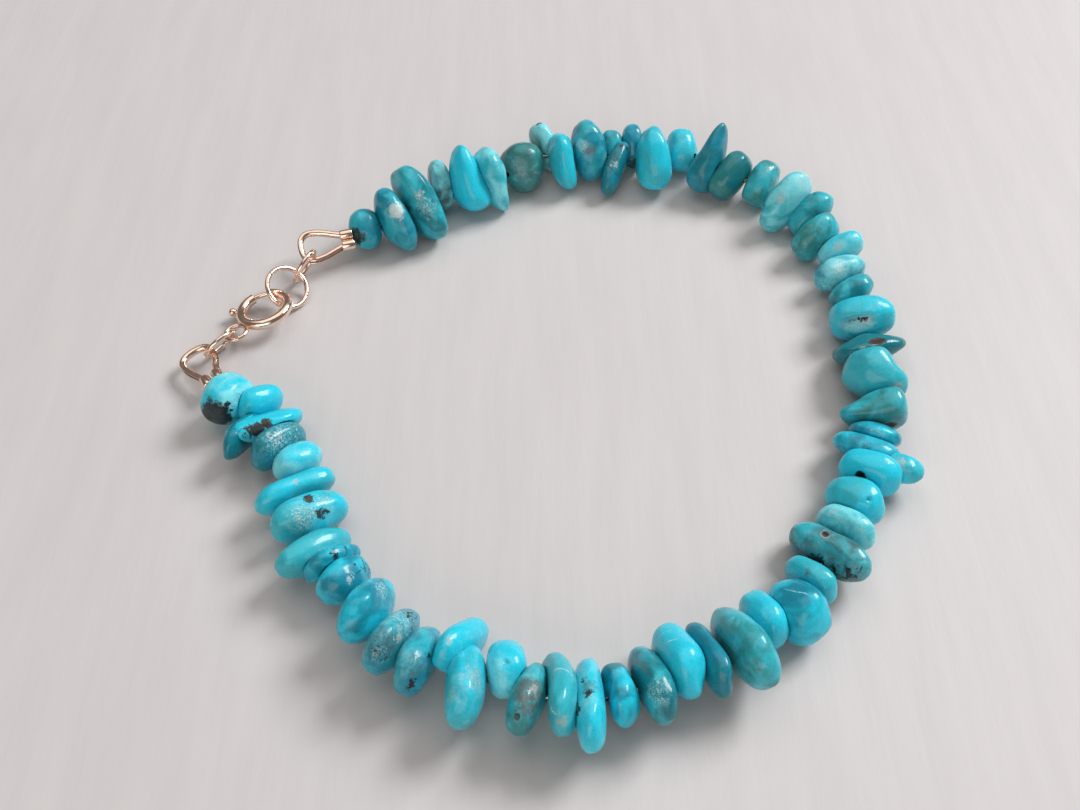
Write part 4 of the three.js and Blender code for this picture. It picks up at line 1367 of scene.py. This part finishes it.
class BRACELET_OT_beading_wire(bpy.types.Operator):
    """String the steel beading wire through the chips and round both guards"""

    bl_idname = "bracelet.beading_wire"
    bl_label = "Beading Wire"

    def execute(self, context):
        radius = context.scene.bracelet_stones.wire_radius / MM
        angles = np.linspace(0, 2 * np.pi, 3 * WIRE_STRANDS, endpoint=False)
        lobes = radius * (1 - STRAND_DEPTH + STRAND_DEPTH * np.cos(WIRE_STRANDS * angles))
        section = np.stack([lobes * np.cos(angles), lobes * np.sin(angles)], axis=1)
        path = strung_wire(placed_chips(unit_ball()[0]), CHIPS[0].at, CHIPS[-1].at)
        points, faces = swept(path, section, twist=STRAND_TWIST)
        obj = mesh_object("beading_wire", on_table(points), faces)
        finish_piece(obj, steel_wire(), BRACELET_BODY, STRING_NODES, WIRE_CREASE)
        line = guard_line()
        sides, steps = LOOP_WIRE_FINENESS
        for guard, node in zip(GUARDS, STRING_NODES):
            path = line.place(np.linspace(LOOP_WIRE_SHORT, line.length - LOOP_WIRE_SHORT, steps))
            points, faces = swept(path, round_section(LOOP_WIRE_RADIUS, sides))
            obj = mesh_object(guard.name + "_loop_wire", guard_place(guard, points), faces)
            finish_piece(obj, steel_wire(), BRACELET_BODY, [node])
        return {"FINISHED"}


class BRACELET_OT_wire_guards(bpy.types.Operator):
    """Form the two rose gold wire guards that shield the wire's loops"""

    bl_idname = "bracelet.wire_guards"
    bl_label = "Wire Guards"

    def execute(self, context):
        line = guard_line()
        span = np.linspace(*GUTTER_SPAN, GUTTER_STEPS) * line.length
        gutter = swept(line.place(span), gutter_section())
        sleeve_points, sleeve_faces = turned(sleeve_profile(), SLEEVE_SIDES)
        for guard in GUARDS:
            parts = [gutter]
            for side in (SLEEVE_SIDE, -SLEEVE_SIDE):
                parts.append((sleeve_points + (0, side, 0), sleeve_faces))
            points, faces = merged(*parts)
            obj = mesh_object(guard.name + "_dressed", guard_place(guard, points), faces)
            finish_piece(obj, rose_gold(), BRACELET_BODY, [guard.name])
        return {"FINISHED"}


class BRACELET_OT_plain_rings(bpy.types.Operator):
    """Bend the two jump rings and the clasp's catch ring"""

    bl_idname = "bracelet.plain_rings"
    bl_label = "Jump Rings and Catch Ring"

    def execute(self, context):
        sides, steps = RING_FINENESS
        for ring in RINGS:
            path = arc(ring.radius, ring.joint + ring.gap / 2, ring.joint + 360 - ring.gap / 2, steps)
            scales = rounded_ends(path, ring.wire, ring.wire * RING_LIP)
            points, faces = swept(path, round_section(ring.wire, sides), scales=scales)
            placed = on_table(points @ square_axes(ring.square).T + ring.at)
            obj = mesh_object(ring.name + "_dressed", placed, faces)
            finish_piece(obj, rose_gold(), BRACELET_BODY, [ring.name])
        return {"FINISHED"}


class BRACELET_OT_spring_ring(bpy.types.Operator):
    """Build the spring ring's hollow body with its end loop"""

    bl_idname = "bracelet.spring_ring"
    bl_label = "Spring Ring Body"

    def execute(self, context):
        tube = clasp_tube(CLASP_TUBE, CLASP_SPAN, *TUBE_FINENESS, TUBE_LIP)
        body = mesh_object("clasp_body_dressed", *tube)
        bore = mesh_object("bore", *clasp_tube(CLASP_BORE, BORE_SPAN, *BORE_FINENESS))
        socket = mesh_object("socket", *clasp_tube(CLASP_BORE, SOCKET_SPAN, *SOCKET_FINENESS))
        half = SLOT_WIDTH / 2
        path = arc(CLASP_RADIUS, *SLOT_SPAN, SLOT_STEPS)
        section = [(-half, -SLOT_DEPTH), (half, -SLOT_DEPTH), (half, 0), (-half, 0)]
        slot = mesh_object("slot", *swept(path, section))
        combine(body, [bore, socket, slot], "DIFFERENCE")
        reach = CLASP_RADIUS + CLASP_TUBE + END_LOOP_RADIUS - END_LOOP_SINK
        path = arc(END_LOOP_RADIUS, *END_LOOP_SPAN, END_LOOP_STEPS)
        points, faces = swept(path, round_section(END_LOOP_WIRE, END_LOOP_SIDES), closed=True)
        combine(body, [mesh_object("loop", points + (reach, 0, 0), faces)], "UNION")
        body.data.vertices.foreach_set("co", clasp_place(mesh_points(body)).ravel())
        finish_piece(body, rose_gold(), BRACELET_BODY, ["clasp_body"])
        return {"FINISHED"}


class BRACELET_OT_bolt(bpy.types.Operator):
    """Build the spring ring's sliding bolt with its thumb nub"""

    bl_idname = "bracelet.bolt"
    bl_label = "Sliding Bolt"

    def execute(self, context):
        rod = clasp_tube(BOLT_RADIUS, BOLT_SPAN, *BOLT_FINENESS, BOLT_LIP)
        turns = np.linspace(0, math.pi, NUB_ARCS + 1)[NUB_HIDDEN_ARCS:]
        head = [(NUB_OUT - NUB_RADIUS * math.cos(t), NUB_RADIUS * math.sin(t)) for t in turns]
        stem = [(0, 0), (0, NUB_STEM), (NUB_NECK, NUB_STEM), *NUB_COLLAR]
        profile = [*stem, *head[:-1], (head[-1][0], 0)]
        points, faces = turned(profile, NUB_SIDES)
        points = (points + (CLASP_RADIUS, 0, 0)) @ turn_matrix(NUB_ANGLE, 0, 0).T
        points, faces = merged(rod, (points, faces))
        obj = mesh_object("clasp_bolt_dressed", clasp_place(points), faces)
        finish_piece(obj, rose_gold(), BOLT_BODY, ["clasp_bolt"])
        return {"FINISHED"}


class BRACELET_OT_stage(bpy.types.Operator):
    """Lay the pale table, and set the window light, the room light and the camera"""

    bl_idname = "bracelet.stage"
    bl_label = "Table, Light and Camera"

    def execute(self, context):
        settings = context.scene.bracelet_stage
        self.lay_table(settings)
        self.hang_lights(context.scene, settings)
        self.place_camera(context.scene)
        return {"FINISHED"}

    def lay_table(self, settings):
        half, top = TABLE_HALF, TABLE_TOP
        corners = [(-half, -half, top), (half, -half, top), (half, half, top), (-half, half, top)]
        table = mesh_object("table", corners, [(0, 1, 2, 3)])
        material, make = new_material("pale_table")
        place = make.add("TexCoord").outputs["Object"]
        long_way = make.add("Mapping", {"Vector": place, "Scale": STROKE_SHAPE}).outputs[0]
        strokes = make.noise(long_way, STROKE_SCALE, detail=5, rough=0.6)
        shade = make.mapped(strokes, *STROKE_EDGES, *STROKE_SHADES)
        colour = make.scaled(Vector(settings.table_colour), shade)
        put_shader(make, colour, TABLE_ROUGHNESS, strokes, TABLE_BUMP)
        table.data.materials.append(material)

    def hang_lights(self, scene, settings):
        for lamp in LAMPS:
            light = bpy.data.lights.new(lamp.name, "AREA")
            light.shape = "RECTANGLE"
            light.size, light.size_y = lamp.size
            light.energy = getattr(settings, lamp.name + "_power")
            light.color = lamp.colour
            way = Vector(lamp.toward)
            hung = bpy.data.objects.new(lamp.name, light)
            hung.location = way.normalized() * lamp.distance
            hung.rotation_euler = way.to_track_quat("Z", "Y").to_euler()
            scene.collection.objects.link(hung)
        scene.world = bpy.data.worlds.new("room")
        scene.world.use_nodes = True
        room = scene.world.node_tree.nodes["Background"].inputs
        room["Color"].default_value = colour4(ROOM_COLOUR)
        room["Strength"].default_value = settings.room_light
        scene.view_settings.view_transform = "Standard"
        scene.view_settings.look = "None"

    def place_camera(self, scene):
        lens = bpy.data.cameras.new("camera")
        lens.lens = CAMERA_LENS
        lens.sensor_width = CAMERA_SENSOR
        lens.clip_start = CAMERA_CLIP
        camera = bpy.data.objects.new("camera", lens)
        camera.location = Vector(CAMERA_AT) * MM
        camera.rotation_euler = (math.radians(90 - CAMERA_ELEVATION), 0, 0)
        scene.collection.objects.link(camera)
        scene.camera = camera


class BRACELET_PT_pieces(bpy.types.Panel):
    """The bracelet's pieces, in the order that they are made"""

    bl_label = "Turquoise Chip Bracelet"
    bl_idname = "BRACELET_PT_pieces"
    bl_space_type = "VIEW_3D"
    bl_region_type = "UI"
    bl_category = "Bracelet"

    def draw(self, context):
        layout = self.layout
        scene = context.scene
        for key in SETTINGS:
            settings = getattr(scene, key)
            box = layout.box()
            for setting in settings.__annotations__:
                box.prop(settings, setting)
        for piece in PIECES:
            layout.operator(piece.bl_idname)


PIECES = (
    BRACELET_OT_stage,
    BRACELET_OT_turquoise_chips,
    BRACELET_OT_beading_wire,
    BRACELET_OT_wire_guards,
    BRACELET_OT_plain_rings,
    BRACELET_OT_spring_ring,
    BRACELET_OT_bolt,
)
SETTINGS = {
    "bracelet_stones": BraceletStoneSettings,
    "bracelet_metal": BraceletMetalSettings,
    "bracelet_stage": BraceletStageSettings,
}
CLASSES = (*SETTINGS.values(), *PIECES, BRACELET_PT_pieces)


def register():
    for cls in CLASSES:
        bpy.utils.register_class(cls)
    for key, settings in SETTINGS.items():
        setattr(bpy.types.Scene, key, bpy.props.PointerProperty(type=settings))


def unregister():
    for key in SETTINGS:
        delattr(bpy.types.Scene, key)
    for cls in reversed(CLASSES):
        bpy.utils.unregister_class(cls)


def main():
    register()
    bpy.ops.bracelet.stage()
    bpy.ops.bracelet.turquoise_chips()
    bpy.ops.bracelet.beading_wire()
    bpy.ops.bracelet.wire_guards()
    bpy.ops.bracelet.plain_rings()
    bpy.ops.bracelet.spring_ring()
    bpy.ops.bracelet.bolt()


if __name__ == "__main__":
    main()
